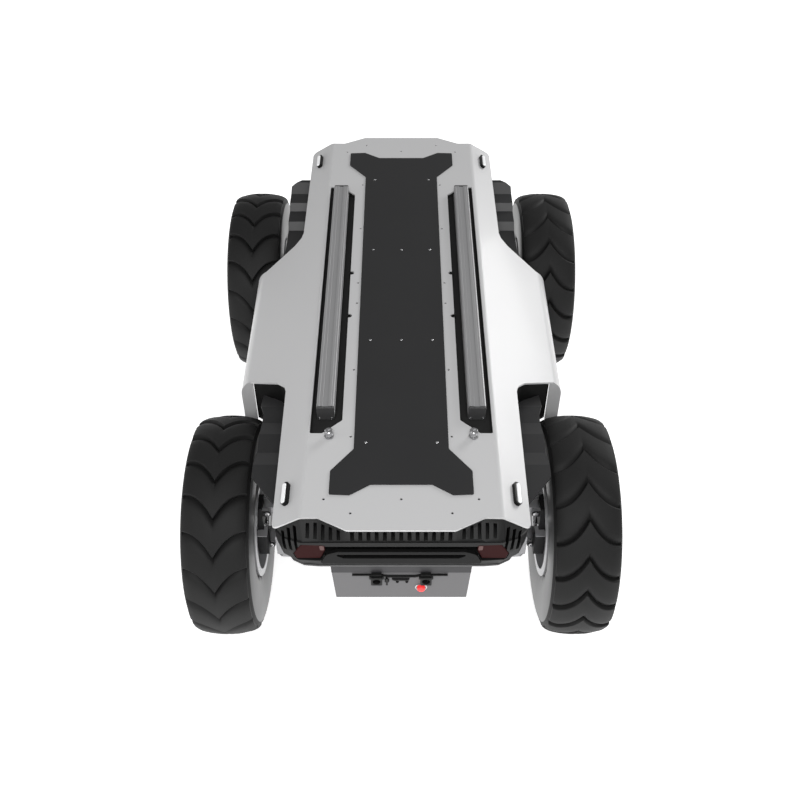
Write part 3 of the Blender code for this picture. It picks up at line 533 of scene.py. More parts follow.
def build_rails():
    half = (RAIL[1][0] - RAIL[0][0]) / 2
    x, z = (RAIL[1][0] + RAIL[0][0]) / 2, (RAIL[1][2] + RAIL[0][2]) / 2
    for side, s in SIDES.items():
        section = [(side * x + u, z + v) for u, v in slot_section(half)]
        rail = prism("rail_profile_" + s, "Y", section, RAIL[0][1], RAIL[1][1])
        place(rail, "chassis", "rail", ["rail_" + s], smooth=25.0)
        for end, e in ENDS.items():
            low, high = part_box("rail_cap_%s_%s" % (e, s))
            outline = rounded([(side * x + u, z + v) for u, v in
                               ((half, half), (-half, half), (-half, -half), (half, -half))], RAIL_CORNER)
            cap = prism("rail_cover_%s_%s" % (e, s), "Y", outline, low[1], high[1])
            soften(cap, 0.0012, 3)
            place(cap, "chassis", "cap", ["rail_cap_%s_%s" % (e, s)])
            face = high[1] if end > 0 else low[1]
            spots = [((side * x + dx, face, z - CAP_SCREW_DROP), (0, end, 0)) for dx in (-CAP_SCREW_X,
                                                                                         CAP_SCREW_X)]
            screws("rail_cap_screws_%s_%s" % (e, s), spots, 0.0024, 0.0012, "chassis")
        low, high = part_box("deck_stud_" + s)
        cx, cy = (low[0] + high[0]) / 2, (low[1] + high[1]) / 2
        stud = lathe("stud_" + s, STUD_PROFILE, 28, Matrix.Translation((cx, cy, low[2])))
        flats = cylinder("flats", (cx, cy, low[2] + 0.011), 0.0071, 0.0036, segments=6)
        join(stud, flats)
        soften(stud, 0.0002, 1, 50)
        place(stud, "chassis", "steel", ["deck_stud_" + s])
        repaint("rail_tray_" + s, "void")


# ---------------------------------------------------------------- lamps and liners
MARKER_X, MARKER_Y = 0.1705, 0.452
MARKER_WIDTH, GLASS_WIDTH = 0.0115, 0.0068


def stadium(length, width, steps=10):
    """Outline with two straight sides and two half-round ends, longer along its second axis."""
    points = []
    for half, start in ((1, 0.0), (-1, math.pi)):
        for step in range(steps + 1):
            angle = start + step * math.pi / steps
            points.append((width / 2 * math.cos(angle),
                           half * (length - width) / 2 + width / 2 * math.sin(angle)))
    return points


def build_markers():
    length = MARKER[1][1] - MARKER[0][1]
    for side, end, corner in CORNERS:
        tilt = Matrix.Rotation(side * math.atan(SLOPE), 4, "Y")
        seat = Matrix.Translation(Vector((side * MARKER_X, end * MARKER_Y, slope_z(MARKER_X)))) @ tilt
        house = prism("house", "Z", stadium(length - 0.002, MARKER_WIDTH), 0.0005, 0.0062)
        shift = Matrix.Translation((side * 0.0016, 0, 0))
        well = prism("well", "Z", stadium(length - 0.006, GLASS_WIDTH + 0.0004), 0.0035, 0.02)
        well.data.transform(shift)
        cut(house, well)
        soften(house, 0.0007, 3)
        house.data.transform(seat)
        house.name = "marker_house_" + corner
        place(house, "chassis", "gloss", ["marker_lamp_" + corner])
        glass = prism("glass", "Z", stadium(length - 0.0064, GLASS_WIDTH), 0.0037, 0.008)
        soften(glass, 0.0018, 4)
        glass.data.transform(seat @ shift)
        glass.name = "marker_lens_" + corner
        place(glass, "chassis", "lens", slot="clear_lens")


# Upper face of the guards from the bulge to the end: out from the middle of the robot, up.
LINER_STEPS = {
    1: ((0.165, 0.342), (0.3034, 0.342), (0.3174, 0.3545), (0.354, 0.3545), (0.3663, 0.367), (0.3994, 0.367),
        (0.4238, 0.3795), (0.433, 0.3795)),
    -1: ((0.165, 0.3315), (0.2073, 0.346), (0.2451, 0.346), (0.2839, 0.361), (0.3249, 0.361),
         (0.3661, 0.3795),
         (0.4545, 0.3795)),
}
# Where the inner corner of the guard's plan is cut off, its outer edge, and the wall that closes the bulge.
LINER_CORNER = {1: ((0.235, 0.4135), (0.2107, 0.4335)), -1: ((0.235, 0.388), (0.187, 0.454))}
LINER_SIDE = ((0.24, 0.15), (0.24, 0.203), (0.2335, 0.225), (0.233, 0.4), (0.229, 0.5))
BULKHEAD = ((0.2575, 0.152), (0.2058, 0.188), (0.1935, 0.2035), (0.1895, 0.218))
BULKHEAD_LOW_Z = 0.262
LINER_OUT_X, LINER_THICK = 0.25, 0.004
LINER_LOW_Z, LINER_HIGH_Z = 0.3, 0.42


def build_liners():
    for side, end, corner in CORNERS:
        top = list(LINER_STEPS[end])
        below = [(y + (0.003 if 0 < i < len(top) - 1 else 0), z - LINER_THICK) for i,
                 (y, z) in enumerate(top)]
        outline = [(end * y, z) for y, z in top + below[::-1]]
        liner = prism("liner_" + corner, "X", outline, side * LINER_IN_X, side * LINER_OUT_X)
        inner, outer = LINER_CORNER[end]
        clipped = [inner, (0.26, inner[1]), (0.26, 0.5), (outer[0], 0.5), outer]
        beyond = list(LINER_SIDE) + [(0.27, 0.5), (0.27, 0.15)]
        for plan in (clipped, beyond):
            cut(liner, prism("plan", "Z", [(side * x, end * y) for x, y in plan], LINER_LOW_Z, LINER_HIGH_Z))
        back = [(x - 0.0012, y - 0.003) for x, y in BULKHEAD]
        wall = [(side * x, end * y) for x, y in list(BULKHEAD) + back[::-1]]
        wall = prism("wall", "Z", wall, BULKHEAD_LOW_Z, DECK_Z)
        boolean(wall, cover_section(SHEET + 0.0006), "INTERSECT")
        join(liner, wall)
        soften(liner, 0.0012, 3)
        place(liner, "chassis", "liner", ["arch_liner_" + corner])
        # The sloped step faces take the lighter copy of the liner plastic, which is painted light.
        liner.data.materials.append(MAT["step"] if end > 0 else MAT["ramp"])
        # The walls that close the bulges take the near-black copy, which is painted shade.
        liner.data.materials.append(MAT["wall_black"])
        for face in liner.data.polygons:
            if face.normal.z > 0.3 and abs(face.normal.y) > 0.3:
                face.material_index = 1
            elif abs(face.center.y) < LINER_STEPS[end][1][0] and abs(face.normal.z) < 0.3:
                face.material_index = 2


# ---------------------------------------------------------------- bumpers
BUMPER_IN_Y = -BUMPER[1][1]
UNDER_COVER_Z = DECK_Z - SHEET - 0.0008
# Half of each ring around the bumper, from the middle to the side: across, out from the robot's middle, up.
BUMPER_RINGS = {
    "foot": ((0.078, 0.529, 0.34), (0.121, 0.529, 0.34), (0.143, 0.527, 0.3403), (0.16, 0.518, 0.342),
             (0.1705, 0.503, 0.345)),
    "mid": ((0.078, 0.532, 0.354), (0.121, 0.532, 0.354), (0.151, 0.53, 0.3545), (0.174, 0.518, 0.3555),
            (0.1845, 0.498, 0.3575)),
    "low": ((0.078, 0.5325, 0.372), (0.121, 0.5325, 0.372), (0.152, 0.5312, 0.3715), (0.176, 0.517, 0.371),
            (0.1865, 0.497, 0.37)),
    "ledge": ((0.078, 0.532, 0.3995), (0.121, 0.532, 0.3995), (0.146, 0.531, 0.398), (0.173, 0.515, 0.388),
              (0.1865, 0.496, 0.38)),
    "brow": ((0.078, 0.5298, 0.3997), (0.121, 0.5298, 0.3997), (0.143, 0.529, 0.3982),
             (0.171, 0.5135, 0.3882),
             (0.1835, 0.496, 0.3822)),
    "top": ((0.078, 0.5262, UNDER_COVER_Z), (0.121, 0.5046, UNDER_COVER_Z), (0.148, 0.5046, UNDER_COVER_Z),
            (0.178, 0.5036, UNDER_COVER_Z - 0.0186), (0.186, 0.496, UNDER_COVER_Z - 0.0236)),
}
BAR = ((-0.119, 0.35), (0.119, 0.35), (0.11, 0.373), (0.094, 0.379), (-0.094, 0.379), (-0.11, 0.373))
BAR_RADII = (0.003, 0.003, 0.016, 0.01, 0.01, 0.016)
BAR_SLOT = ((-0.099, 0.3722), (0.099, 0.3722), (0.084, 0.3635), (-0.084, 0.3635))
LENS = ((0.1575, 0.3695), (0.145, 0.3925), (0.112, 0.3925), (0.111, 0.377), (0.1185, 0.3575), (0.154, 0.3575))
# Patch inside each end lamp where the highlight falls; the rear lamps have it painted in lighter pink.
GLINT = ((0.1195, 0.389), (0.1125, 0.389), (0.112, 0.3785), (0.1185, 0.3785))

# Depths, out from the middle of the robot: how far the slots, the bar's bed and the lamps' pockets reach in,
# and what stands in them. AHEAD_Y is in front of everything.
SLOT_Y, BED_Y, POCKET_Y, AHEAD_Y = 0.508, 0.5262, 0.524, 0.56
BAR_Y, LENS_Y, GLINT_Y = (0.5268, 0.5335), (0.5246, 0.5292), (0.5285, 0.53)
LIP_Z = (0.3385, 0.3418)


def bumper_ring(end, level):
    """The level's ring, closed behind the bumper."""
    half = list(BUMPER_RINGS[level])
    x, _, z = half[-1]
    half += [(x, BUMPER_IN_Y, z), (x * 0.8, BUMPER_IN_Y, half[0][2])]
    return [(x, end * y, z) for x, y, z in half] + [(-x, end * y, z) for x, y, z in reversed(half)]


def loft(name, rings):
    """Solid through rings of the same number of points, closed at the first and the last."""
    bm = bmesh.new()
    loops = [[bm.verts.new(point) for point in ring] for ring in rings]
    for low, high in zip(loops, loops[1:]):
        for index in range(len(low)):
            after = (index + 1) % len(low)
            bm.faces.new((low[index], low[after], high[after], high[index]))
    caps = [bm.faces.new(loop) for loop in (loops[0], loops[-1])]
    bmesh.ops.triangulate(bm, faces=caps)
    return mesh_object(name, bm)


def slot_cutter(end, spots):
    """Upright slots as (x, how far in they reach, low z, high z, width, lean)."""
    bm = bmesh.new()
    for x, y, z0, z1, width, lean in spots:
        made = bmesh.ops.create_cube(bm, size=1.0)["verts"]
        bmesh.ops.scale(bm, vec=(width, 0.08, z1 - z0), verts=made)
        bmesh.ops.rotate(bm, cent=(0, 0, 0), matrix=Matrix.Rotation(lean, 3, "Y"), verts=made)
        bmesh.ops.translate(bm, vec=(x, end * (y + 0.04), (z0 + z1) / 2), verts=made)
    return mesh_object("slots", bm)


def grille_spots():
    pitch, spots = 0.01177, []
    for index in range(13):
        spots.append(((index - 6) * pitch, 0.515, 0.4012, 0.419, 0.0056, 0.0))
    for side in (1, -1):
        for index in range(5):
            x = 0.0905 + index * 0.0113
            spots.append((side * x, 0.496, 0.4018, 0.4178 - 0.0004 * index, 0.005, 0.0))
    return spots


def end_spots():
    spots = []
    for side in (1, -1):
        for x, low, high in ((0.1535, 0.379, 0.409), (0.163, 0.374, 0.4035), (0.1722, 0.369, 0.397)):
            spots.append((side * x, 0.488, low, high, 0.005, side * 0.13))
    return spots


def outline_prism(name, outline, side, grow, y_in, y_out, radius):
    """Front-view outline pushed along Y, grown outwards about its own middle."""
    cx = sum(x for x, _ in outline) / len(outline)
    cz = sum(z for _, z in outline) / len(outline)
    spread = [(x + math.copysign(grow, x - cx), z + math.copysign(grow, z - cz)) for x, z in outline]
    return prism(name, "Y", rounded([(side * x, z) for x, z in spread], radius), y_in, y_out)


def build_bumpers():
    for end, e in ENDS.items():
        body = loft("bumper_shell_" + e, [bumper_ring(end, level) for level in ("foot", "mid", "low",
                                                                                "ledge")])
        cut(body, slot_cutter(end, end_spots()))
        cut(body, box("gap", -0.113, 0.113, end * SLOT_Y, end * AHEAD_Y, 0.37, 0.3905))
        cut(body, outline_prism("bed", BAR, 1, 0.0008, end * BED_Y, end * AHEAD_Y, BAR_RADII))
        cut(body, prism("slot", "Y", rounded(BAR_SLOT, 0.0018), end * SLOT_Y, end * AHEAD_Y))
        for side in SIDES:
            cut(body, outline_prism("pocket", LENS, side, 0.0012, end * POCKET_Y, end * AHEAD_Y, 0.003))
        soften(body, 0.0009, 2, 28)
        place(body, "chassis", "plastic", ["bumper_" + e], smooth=30)

        brow = loft("bumper_grille_" + e, [bumper_ring(end, level) for level in ("brow", "top")])
        cut(brow, slot_cutter(end, grille_spots()))
        cut(brow, slot_cutter(end, end_spots()))
        soften(brow, 0.0006, 2, 28)
        place(brow, "chassis", "fascia", slot="black_plastic", smooth=30)
        # Dark sheet behind the grille slots: painted shade of the hollow behind them.
        lining = box("grille_lining_" + e, -0.15, 0.15, end * 0.46, end * 0.4945, 0.385, 0.4195)
        place(lining, "chassis", "void", slot="black_plastic")

        bar = prism("bumper_bar_" + e, "Y", rounded(BAR, BAR_RADII, steps=6), end * BAR_Y[0], end * BAR_Y[1])
        cut(bar, prism("slot", "Y", rounded(BAR_SLOT, 0.0018), end * 0.52, end * AHEAD_Y))
        soften(bar, 0.0013, 3)
        place(bar, "chassis", "gloss", slot="black_plastic")

        # A strip under the bumper's foot in the light grey edge material: a painted highlight along the lower
        # edge.
        foot = [(x, y) for x, y, _ in BUMPER_RINGS["foot"]]
        foot = [(x + 0.0012, y + 0.0016) for x, y in foot] + [(0.15, 0.5)]
        foot = [(x, end * y) for x, y in foot] + [(-x, end * y) for x, y in reversed(foot)]
        lip = prism("bumper_lip_" + e, "Z", foot, *LIP_Z)
        soften(lip, 0.0012, 3)
        place(lip, "chassis", "edge", slot="black_plastic")
        for side, s in SIDES.items():
            corner = "%s_%s" % (e, s)
            lens = outline_prism("lamp_lens_" + corner, LENS, side, 0.0, end * LENS_Y[0], end * LENS_Y[1],
                                 0.003)
            soften(lens, 0.0018, 3)
            place(lens, "chassis", "clear" if end > 0 else "red", ["end_lamp_" + corner])
            # Patch where the lamp's highlight falls: lighter pink on the rear lamps as a painted highlight,
            # clear lens on the front.
            glint = outline_prism("lamp_reflector_" + corner, GLINT, side, 0.0, end * GLINT_Y[0],
                                  end * GLINT_Y[1], 0.002)
            soften(glint, 0.0006, 3)
            place(glint, "chassis", "clear" if end > 0 else "pink",
                  slot="clear_lens" if end > 0 else "red_lens")


# ---------------------------------------------------------------- electrical box
CASE_LEAN = 0.004 / (CASE[1][2] - CASE[0][2])
# Front views of what stands on the box's rear face.
HOOD = ((-0.0745, 0.3035), (-0.03, 0.3035), (-0.021, 0.2995), (0.021, 0.2995), (0.03, 0.3035),
        (0.0705, 0.3035),
        (0.0705, 0.3055), (0.0308, 0.3055), (0.0218, 0.3015), (-0.0218, 0.3015), (-0.0308, 0.3055), (-0.0745,
                                                                                                     0.3055))
PORT = ((-0.015, 0.297), (0.013, 0.297), (0.0118, 0.2925), (-0.0138, 0.2925))
PORT_MOUTH = ((-0.0135, 0.2958), (0.0115, 0.2958), (0.0106, 0.2937), (-0.0126, 0.2937))
LOW_PORT = ((-0.012, 0.2905), (0.0095, 0.2905), (0.0095, 0.2885), (-0.012, 0.2885))
POST = ((-0.0235, 0.2985), (-0.0205, 0.2985), (-0.0205, 0.282), (-0.0235, 0.282))
SOCKET_HALF, NECK_HALF, EAR_HALF = 0.0086, 0.0078, 0.011
MOUTH_R, PIN_RING = 0.0062, 0.0031
BUTTON_HOLE_R, BUTTON_STEM_R = 0.0068, 0.0061


def case_face(z):
    """Y of the box's rear face, which leans inwards towards the bottom."""
    return CASE[0][1] + (CASE[1][2] - z) * CASE_LEAN


def on_case(name, outline, radius, z, proud):
    """Piece on the box's rear face at height z, this far proud of it."""
    return prism(name, "Y", rounded(outline, radius), case_face(z) - proud, case_face(z) + 0.001)


def fit_black(piece, edge):
    soften(piece, edge)
    place(piece, "chassis", "plastic", slot="black_plastic")


def build_socket(s):
    low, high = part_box("socket_" + s)
    x, z = (low[0] + high[0]) / 2, (low[2] + high[2]) / 2
    back, front, tall = low[1], high[1], (high[2] - low[2]) / 2
    outline = [(x - SOCKET_HALF, z - tall), (x + SOCKET_HALF, z - tall), (x + SOCKET_HALF, z + tall),
               (x - SOCKET_HALF, z + tall)]
    body = prism("socket_body_" + s, "Y", rounded(outline, 0.0018), back, front)
    neck_top = z + tall + 0.0045
    neck = [(x - NECK_HALF, z), (x + NECK_HALF, z), (x + NECK_HALF, neck_top), (x - NECK_HALF, neck_top)]
    join(body, prism("neck", "Y", rounded(neck, 0.0015), back + 0.003, front - 0.0004))
    ear = [(x + sx * EAR_HALF, z + dz) for sx, dz in ((-1, 0.0005), (1, 0.0005), (1, 0.006), (-1, 0.006))]
    join(body, prism("ear", "Y", rounded(ear, 0.0012), back + 0.004, front - 0.0002))
    cut(body, cylinder("mouth", (x, back, z), MOUTH_R, 0.013, "Y", 36))
    for dz in (-0.0078, 0.0078):
        low_z, high_z = z + dz - 0.0004, z + dz + 0.0004
        groove = [(x - 0.006, low_z), (x + 0.006, low_z), (x + 0.006, high_z), (x - 0.006, high_z)]
        cut(body, prism("groove", "Y", groove, back - 0.001, back + 0.0006))
    soften(body, 0.0005)
    place(body, "chassis", "plastic", ["socket_" + s])
    pins = [((x + PIN_RING * math.cos(a), back + 0.0066, z + PIN_RING * math.sin(a)), (0, -1, 0))
            for a in (math.pi / 2, math.pi * 7 / 6, math.pi * 11 / 6)]
    screws("socket_pins_" + s, pins, 0.0008, 0.004, "chassis")


def build_box():
    y_rear, y_front = CASE[0][1], CASE[1][1]
    z0, z1, x1 = CASE[0][2], CASE[1][2], CASE[1][0]
    y_tub = TUB[0][1] - 0.001
    outline = [(y_rear, z1), (y_rear + 0.004, z0), (y_front, z0), (y_tub, 0.2857), (y_tub, z1)]
    taper = 0.005
    case = prism("case_body", "X", outline, -x1, x1)
    for side in SIDES:
        wedge = [(side * 0.12, z1), (side * x1, z1), (side * (x1 - taper), z0 - GAP), (side * 0.12, z0 - GAP)]
        cut(case, prism("wedge", "Y", wedge, -0.55, -0.4))
    bx, bz = (BUTTON[0][0] + BUTTON[1][0]) / 2, (BUTTON[0][2] + BUTTON[1][2]) / 2
    cut(case, cylinder("hole", (bx, y_rear, bz), BUTTON_HOLE_R, 0.03, "Y", 32))
    soften(case, 0.0012, 3)
    place(case, "chassis", "box", ["control_box"])

    # Darker band across the top of the box's rear face, standing a little proud of it.
    band = z1 - 0.024
    outline = [(case_face(z1) - 0.0012, z1), (case_face(band) - 0.0012, band),
               (case_face(band) + 0.002, band), (case_face(z1) + 0.002, z1)]
    lip = prism("case_lip", "X", outline, -x1 + 0.0012, x1 - 0.0012)
    soften(lip, 0.0005)
    place(lip, "chassis", "lip", slot="grey_paint")
    fit_black(on_case("case_hood", HOOD, 0, 0.304, 0.0035), 0.0004)
    for s in SIDES.values():
        build_socket(s)

    shell = on_case("data_port", PORT, 0.0012, 0.295, 0.004)
    cut(shell, prism("mouth", "Y", rounded(PORT_MOUTH, 0.0008), case_face(0.295) - 0.01,
                     case_face(0.295) - 0.0015))
    fit_black(shell, 0.0004)
    fit_black(on_case("small_port", LOW_PORT, 0.0006, 0.289, 0.0025), 0.0003)
    post = on_case("aerial_post", POST, 0.001, 0.29, 0.006)
    join(post, cylinder("nut", (-0.022, case_face(0.288) - 0.001, 0.288), 0.004, 0.004, "Y", 6))
    fit_black(post, 0.0003)
    spots = [((x, case_face(0.2835), 0.2835), (0, -1, 0)) for x in (0.0085, -0.006)]
    screws("case_screws_middle", spots, 0.0024, 0.0022, "chassis", "plastic")
    spots = [((sx * 0.068, case_face(0.301), 0.301), (0, -1, 0)) for sx in (1, -1)]
    screws("case_screws", spots, 0.0016, 0.001, "chassis", "dark_screw")

    profile = [(0.0, 0.0071), (0.0, 0.0092), (0.0012, 0.0092), (0.0018, 0.0084), (0.0018, 0.0074)]
    ring = lathe("button_ring", profile, 40, along((bx, case_face(bz), bz), (0, -1, 0)))
    place(ring, "chassis", "steel", slot="bright_steel")
    depth = BUTTON[1][1] - BUTTON[0][1]
    profile = [(0.0, 0.0), (0.0, 0.0083), (0.0026, 0.0083), (0.003, BUTTON_STEM_R),
               (depth - 0.0012, BUTTON_STEM_R),
               (depth - 0.0003, 0.0052), (depth, 0.0035), (depth - 0.0004, 0.0)]
    cap = lathe("button_cap", profile, 36, along((bx, BUTTON[1][1], bz), (0, -1, 0)))
    place(cap, "power_button", "button", ["power_button"])


# ---------------------------------------------------------------- wheels
LUGS = 19
LUG_HEIGHT = 0.009
LUG_SWEEP = 0.68
TIP_TURN = {"front_l": 5.0, "front_r": 11.0, "rear_l": 2.0, "rear_r": 2.0}
# Across one pitch: a steep face towards the chevron's tip, a flat top, then a long fall to the next lug.
LUG_PHASES = ((0.0, 0.04), (0.022, 0.88), (0.045, 1.0), (0.3, 1.0), (0.56, 0.985), (0.72, 0.93), (0.82, 0.8),
              (0.9, 0.5), (0.96, 0.2))
# Half section of the tyre as shares of the half width and of the radius; the lugs end at the step near 0.9.
CARCASS = ((0.0, 1.0), (0.05, 0.9999), (0.11, 0.9995), (0.18, 0.9985), (0.26, 0.9968), (0.35, 0.994),
           (0.45, 0.99),
           (0.55, 0.985), (0.65, 0.9788), (0.74, 0.971), (0.82, 0.96), (0.87, 0.951), (0.893, 0.945), (0.897,
                                                                                                       0.922),
           (0.935, 0.908), (0.96, 0.89), (0.985, 0.858), (1.0, 0.81), (1.0, 0.75), (0.992, 0.68),
           (0.972, 0.615), (0.945, 0.565), (0.915, 0.525), (0.88, 0.5), (0.845, 0.487))
LUG_END = 0.895
BEAD = ((0.845, 0.487), (0.7, 0.487), (0.72, 0.7), (0.55, 0.84), (0.0, 0.875))
# How far out across the tyre and how high up the sidewall's painted sheen reaches.
WALL_FROM, WALL_TOP = 0.8, 0.885


def tyre_mesh(name, lead, turn):
    """Tyre about its own centre. The chevron tips point towards smaller angles where lead is 1."""
    outer = [(-u, r) for u, r in reversed(CARCASS)] + list(CARCASS[1:])
    inner = list(BEAD[1:]) + [(-u, r) for u, r in reversed(BEAD[1:-1])]
    pitch = 2 * math.pi / LUGS
    bm = bmesh.new()
    columns = []
    for lug in range(LUGS):
        for phase, height in LUG_PHASES:
            column = []
            for u, r in outer:
                across = min(1.0, abs(u))
                lift = (height - 1.0) * LUG_HEIGHT if across < LUG_END else 0.0
                angle = turn + lead * pitch * (lug + phase + LUG_SWEEP * (1 - (1 - across) ** 2.4))
                radius = r * TYRE_R + lift
                column.append(bm.verts.new((u * TYRE_HALF, radius * math.sin(angle),
                                            radius * math.cos(angle))))
            for u, r in inner:
                angle = turn + lead * pitch * (lug + phase + LUG_SWEEP)
                column.append(bm.verts.new((u * TYRE_HALF, r * TYRE_R * math.sin(angle),
                                            r * TYRE_R * math.cos(angle))))
            columns.append(column)
    for index, column in enumerate(columns):
        after = columns[(index + 1) % len(columns)]
        for row in range(len(column)):
            below = (row + 1) % len(column)
            bm.faces.new((column[row], column[below], after[below], after[row]))
    tyre = mesh_object(name, bm)
    tyre.data.materials.append(MAT["tread"])
    tyre.data.materials.append(MAT["wall"])
    # Faces on the sidewalls take the lighter sidewall rubber, a painted sheen.
    for face in tyre.data.polygons:
        centre = face.center
        radius = math.hypot(centre.y, centre.z)
        face.material_index = int(abs(centre.x) > TYRE_HALF * WALL_FROM and radius < TYRE_R * WALL_TOP)
    return tyre


RIM_LIP = 0.0566
RIM_PROFILE = ((-0.056, 0.0772), (-0.0566, 0.08), (-0.0566, 0.088), (-0.0548, 0.09), (-0.052, 0.0896),
               (-0.04, 0.0862), (0.04, 0.0862), (0.052, 0.0896), (0.0548, 0.09), (0.0566, 0.088), (0.0566,
                                                                                                   0.082),
               (0.0548, 0.08), (0.033, 0.079), (0.03, 0.0765), (0.0262, 0.064), (0.0256, 0.052), (0.029,
                                                                                                  0.042),
               (0.0345, 0.036), (0.036, 0.034), (0.036, 0.021), (0.04, 0.0195), (0.042, 0.016), (0.0425, 0.0),
               (-0.053, 0.0), (-0.053, 0.0112), (-0.0522, 0.012), (-0.006, 0.012), (-0.006, 0.028), (-0.004,
                                                                                                   0.03),
               (0.017, 0.031), (0.019, 0.052), (0.02, 0.07), (0.018, 0.077), (-0.048, 0.0774))


WINDOWS, WINDOW_RING, WINDOW_R = 8, 0.0585, 0.0085
BOLTS, BOLT_RING, BOLT_X = 6, 0.0275, 0.0358


def build_wheels():
    for side, end, corner in CORNERS:
        hub = JOINTS["wheel_spin_" + corner]["pos_m"]
        tyre = tyre_mesh("tyre_body_" + corner, -side, math.radians(TIP_TURN[corner]))
        tyre.data.transform(Matrix.Translation(hub))
        for face in tyre.data.polygons:
            face.use_smooth = True
        tyre.data.set_sharp_from_angle(angle=math.radians(32))
        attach(tyre, "wheel_" + corner)
        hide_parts("tyre_" + corner)
        scale = RIM_HALF / RIM_LIP
        section = [(h * scale if abs(h) > 0.04 and r > 0.07 else h, r) for h, r in RIM_PROFILE]
        rim = lathe("rim_body_" + corner, section, 72, along(hub, (side, 0, 0)))
        bm = bmesh.new()
        for index in range(WINDOWS):
            angle = (index + 0.5) * 2 * math.pi / WINDOWS
            spot = (hub[0] + side * 0.02, hub[1] + WINDOW_RING * math.sin(angle),
                    hub[2] + WINDOW_RING * math.cos(angle))
            bmesh.ops.create_cone(bm, cap_ends=True, segments=20, radius1=WINDOW_R, radius2=WINDOW_R,
                                  depth=0.04,
                                  matrix=Matrix.Translation(spot) @ Matrix.Rotation(math.pi / 2, 4, "Y"))
        cut(rim, mesh_object("windows", bm))
        soften(rim, 0.0007, 2, 40)
        place(rim, "wheel_" + corner, "rim", ["rim_" + corner], smooth=35)
        bolts = []
        for index in range(BOLTS):
            angle = index * 2 * math.pi / BOLTS
            spot = (hub[0] + side * BOLT_X, hub[1] + BOLT_RING * math.sin(angle),
                    hub[2] + BOLT_RING * math.cos(angle))
            bolts.append((spot, (side, 0, 0)))
        screws("wheel_bolts_" + corner, bolts, 0.0042, 0.004, "wheel_" + corner)


# ---------------------------------------------------------------- suspension
RIB_OUT_X = 0.215
RIB_TOP_Z = 0.193
BLOCK_TOP_Z = 0.199
# Plans of the right-hand arm and its web, across the robot and from the middle of the wheel.
ARM_PLAN = ((0.178, -0.024), (0.198, -0.024), (0.213, -0.0105), (0.213, 0.0105), (0.198, 0.024),
            (0.178, 0.024))
ARM_WINDOW = ((0.184, -0.014), (0.197, -0.012), (0.203, 0.0), (0.197, 0.012), (0.184, 0.014))
WEB_PLAN = ((0.1795, -0.034), (0.208, -0.032), (0.2165, -0.024), (0.2165, 0.024), (0.208, 0.032),
            (0.1795, 0.034))
# The damper's ear on the lower arm, from its pin: across, up.
EAR = ((-0.008, -0.006), (-0.008, 0.006), (-0.004, 0.009), (0.004, 0.009), (0.007, 0.006), (0.007, -0.006))
# The carrier's side view, from the middle of the wheel, up.
CARRIER = ((-0.02, 0.139), (0.02, 0.139), (0.024, 0.165), (0.024, 0.215), (0.018, 0.247), (-0.018, 0.247),
           (-0.024, 0.215), (-0.024, 0.165))
CARRIER_X = (0.234, 0.246)
BLOCK_X, BLOCK_Y = (0.2275, 0.2455), (0.0165, 0.038)
ARM_HALF, PIN_R = 0.006, 0.004
COILS = 7


def tongue(x0, x1, z, radius, side, steps=12):
    """Outline that is square at x0 and round about x1."""
    points = [(x0, z - radius), (x0, z + radius)]
    for step in range(steps + 1):
        angle = math.pi / 2 - step * math.pi / steps
        points.append((x1 + radius * math.cos(angle), z + radius * math.sin(angle)))
    return [(side * x, z) for x, z in points]


def fork(side, root_x, tip_x, z, half, radius, steps=12):
    """Outline of a fork's tine: square at its root, and round about its tip, which is nearer the middle."""
    points = [(side * root_x, z - half), (side * root_x, z + half)]
    for step in range(steps + 1):
        angle = step * math.pi / steps
        points.append((side * (tip_x - radius * math.sin(angle)), z + radius * math.cos(angle)))
    return points


def build_arm(side, end, corner, z, kind):
    y = end * WHEEL_Y
    name = "arm_%s_%s" % (kind, corner)
    arm = prism(name, "Z", rounded(set_out(ARM_PLAN, side, y), 0.003), z - ARM_HALF, z + ARM_HALF)
    cut(arm, prism("window", "Z", rounded(set_out(ARM_WINDOW, side, y), 0.003), z - 0.01, z + 0.01))
    for sign in (1, -1):
        tine = fork(side, 0.181, 0.163, z, ARM_HALF, 0.0078)
        join(arm, prism("tine", "Y", tine, y + sign * 0.0135, y + sign * 0.0235))
    join(arm, cylinder("pin", (side * ARM_IN[0], y, z), PIN_R, 0.046, "Y", 24))
    eye = prism("eye", "Y", tongue(0.205, ARM_OUT[0], z, 0.007, side), y - 0.0095, y + 0.0095)
    cut(eye, cylinder("bore", (side * ARM_OUT[0], y, z), 0.00455, 0.05, "Y", 24))
    join(arm, eye)
    if kind == "lower":
        join(arm, prism("web", "Z", rounded(set_out(WEB_PLAN, side, y), 0.004), z - 0.0155, z + 0.0075))
        join(arm, box("rib", side * 0.183, side * RIB_OUT_X, y + end * 0.019, y + end * 0.034, z - 0.0055,
                      RIB_TOP_Z))
        x = (ROD[0][0] + ROD[1][0]) / 2
        ear = rounded([(side * (x + dx), z + dz) for dx, dz in EAR], 0.002)
        join(arm, prism("ear", "Y", ear, y - end * 0.02, y - end * 0.0275))
        join(arm, cylinder("shock_pin", (side * x, y - end * 0.0345, z), 0.0035, 0.018, "Y", 24))
    soften(arm, 0.0008, 2, 40)
    place(arm, name, "arm", [name])
    heads = [((side * ARM_IN[0], y + sign * 0.0235, z), (0, sign, 0)) for sign in (1, -1)]
    screws("arm_bolts_%s_%s" % (kind, corner), heads, 0.0058, 0.0032, name)


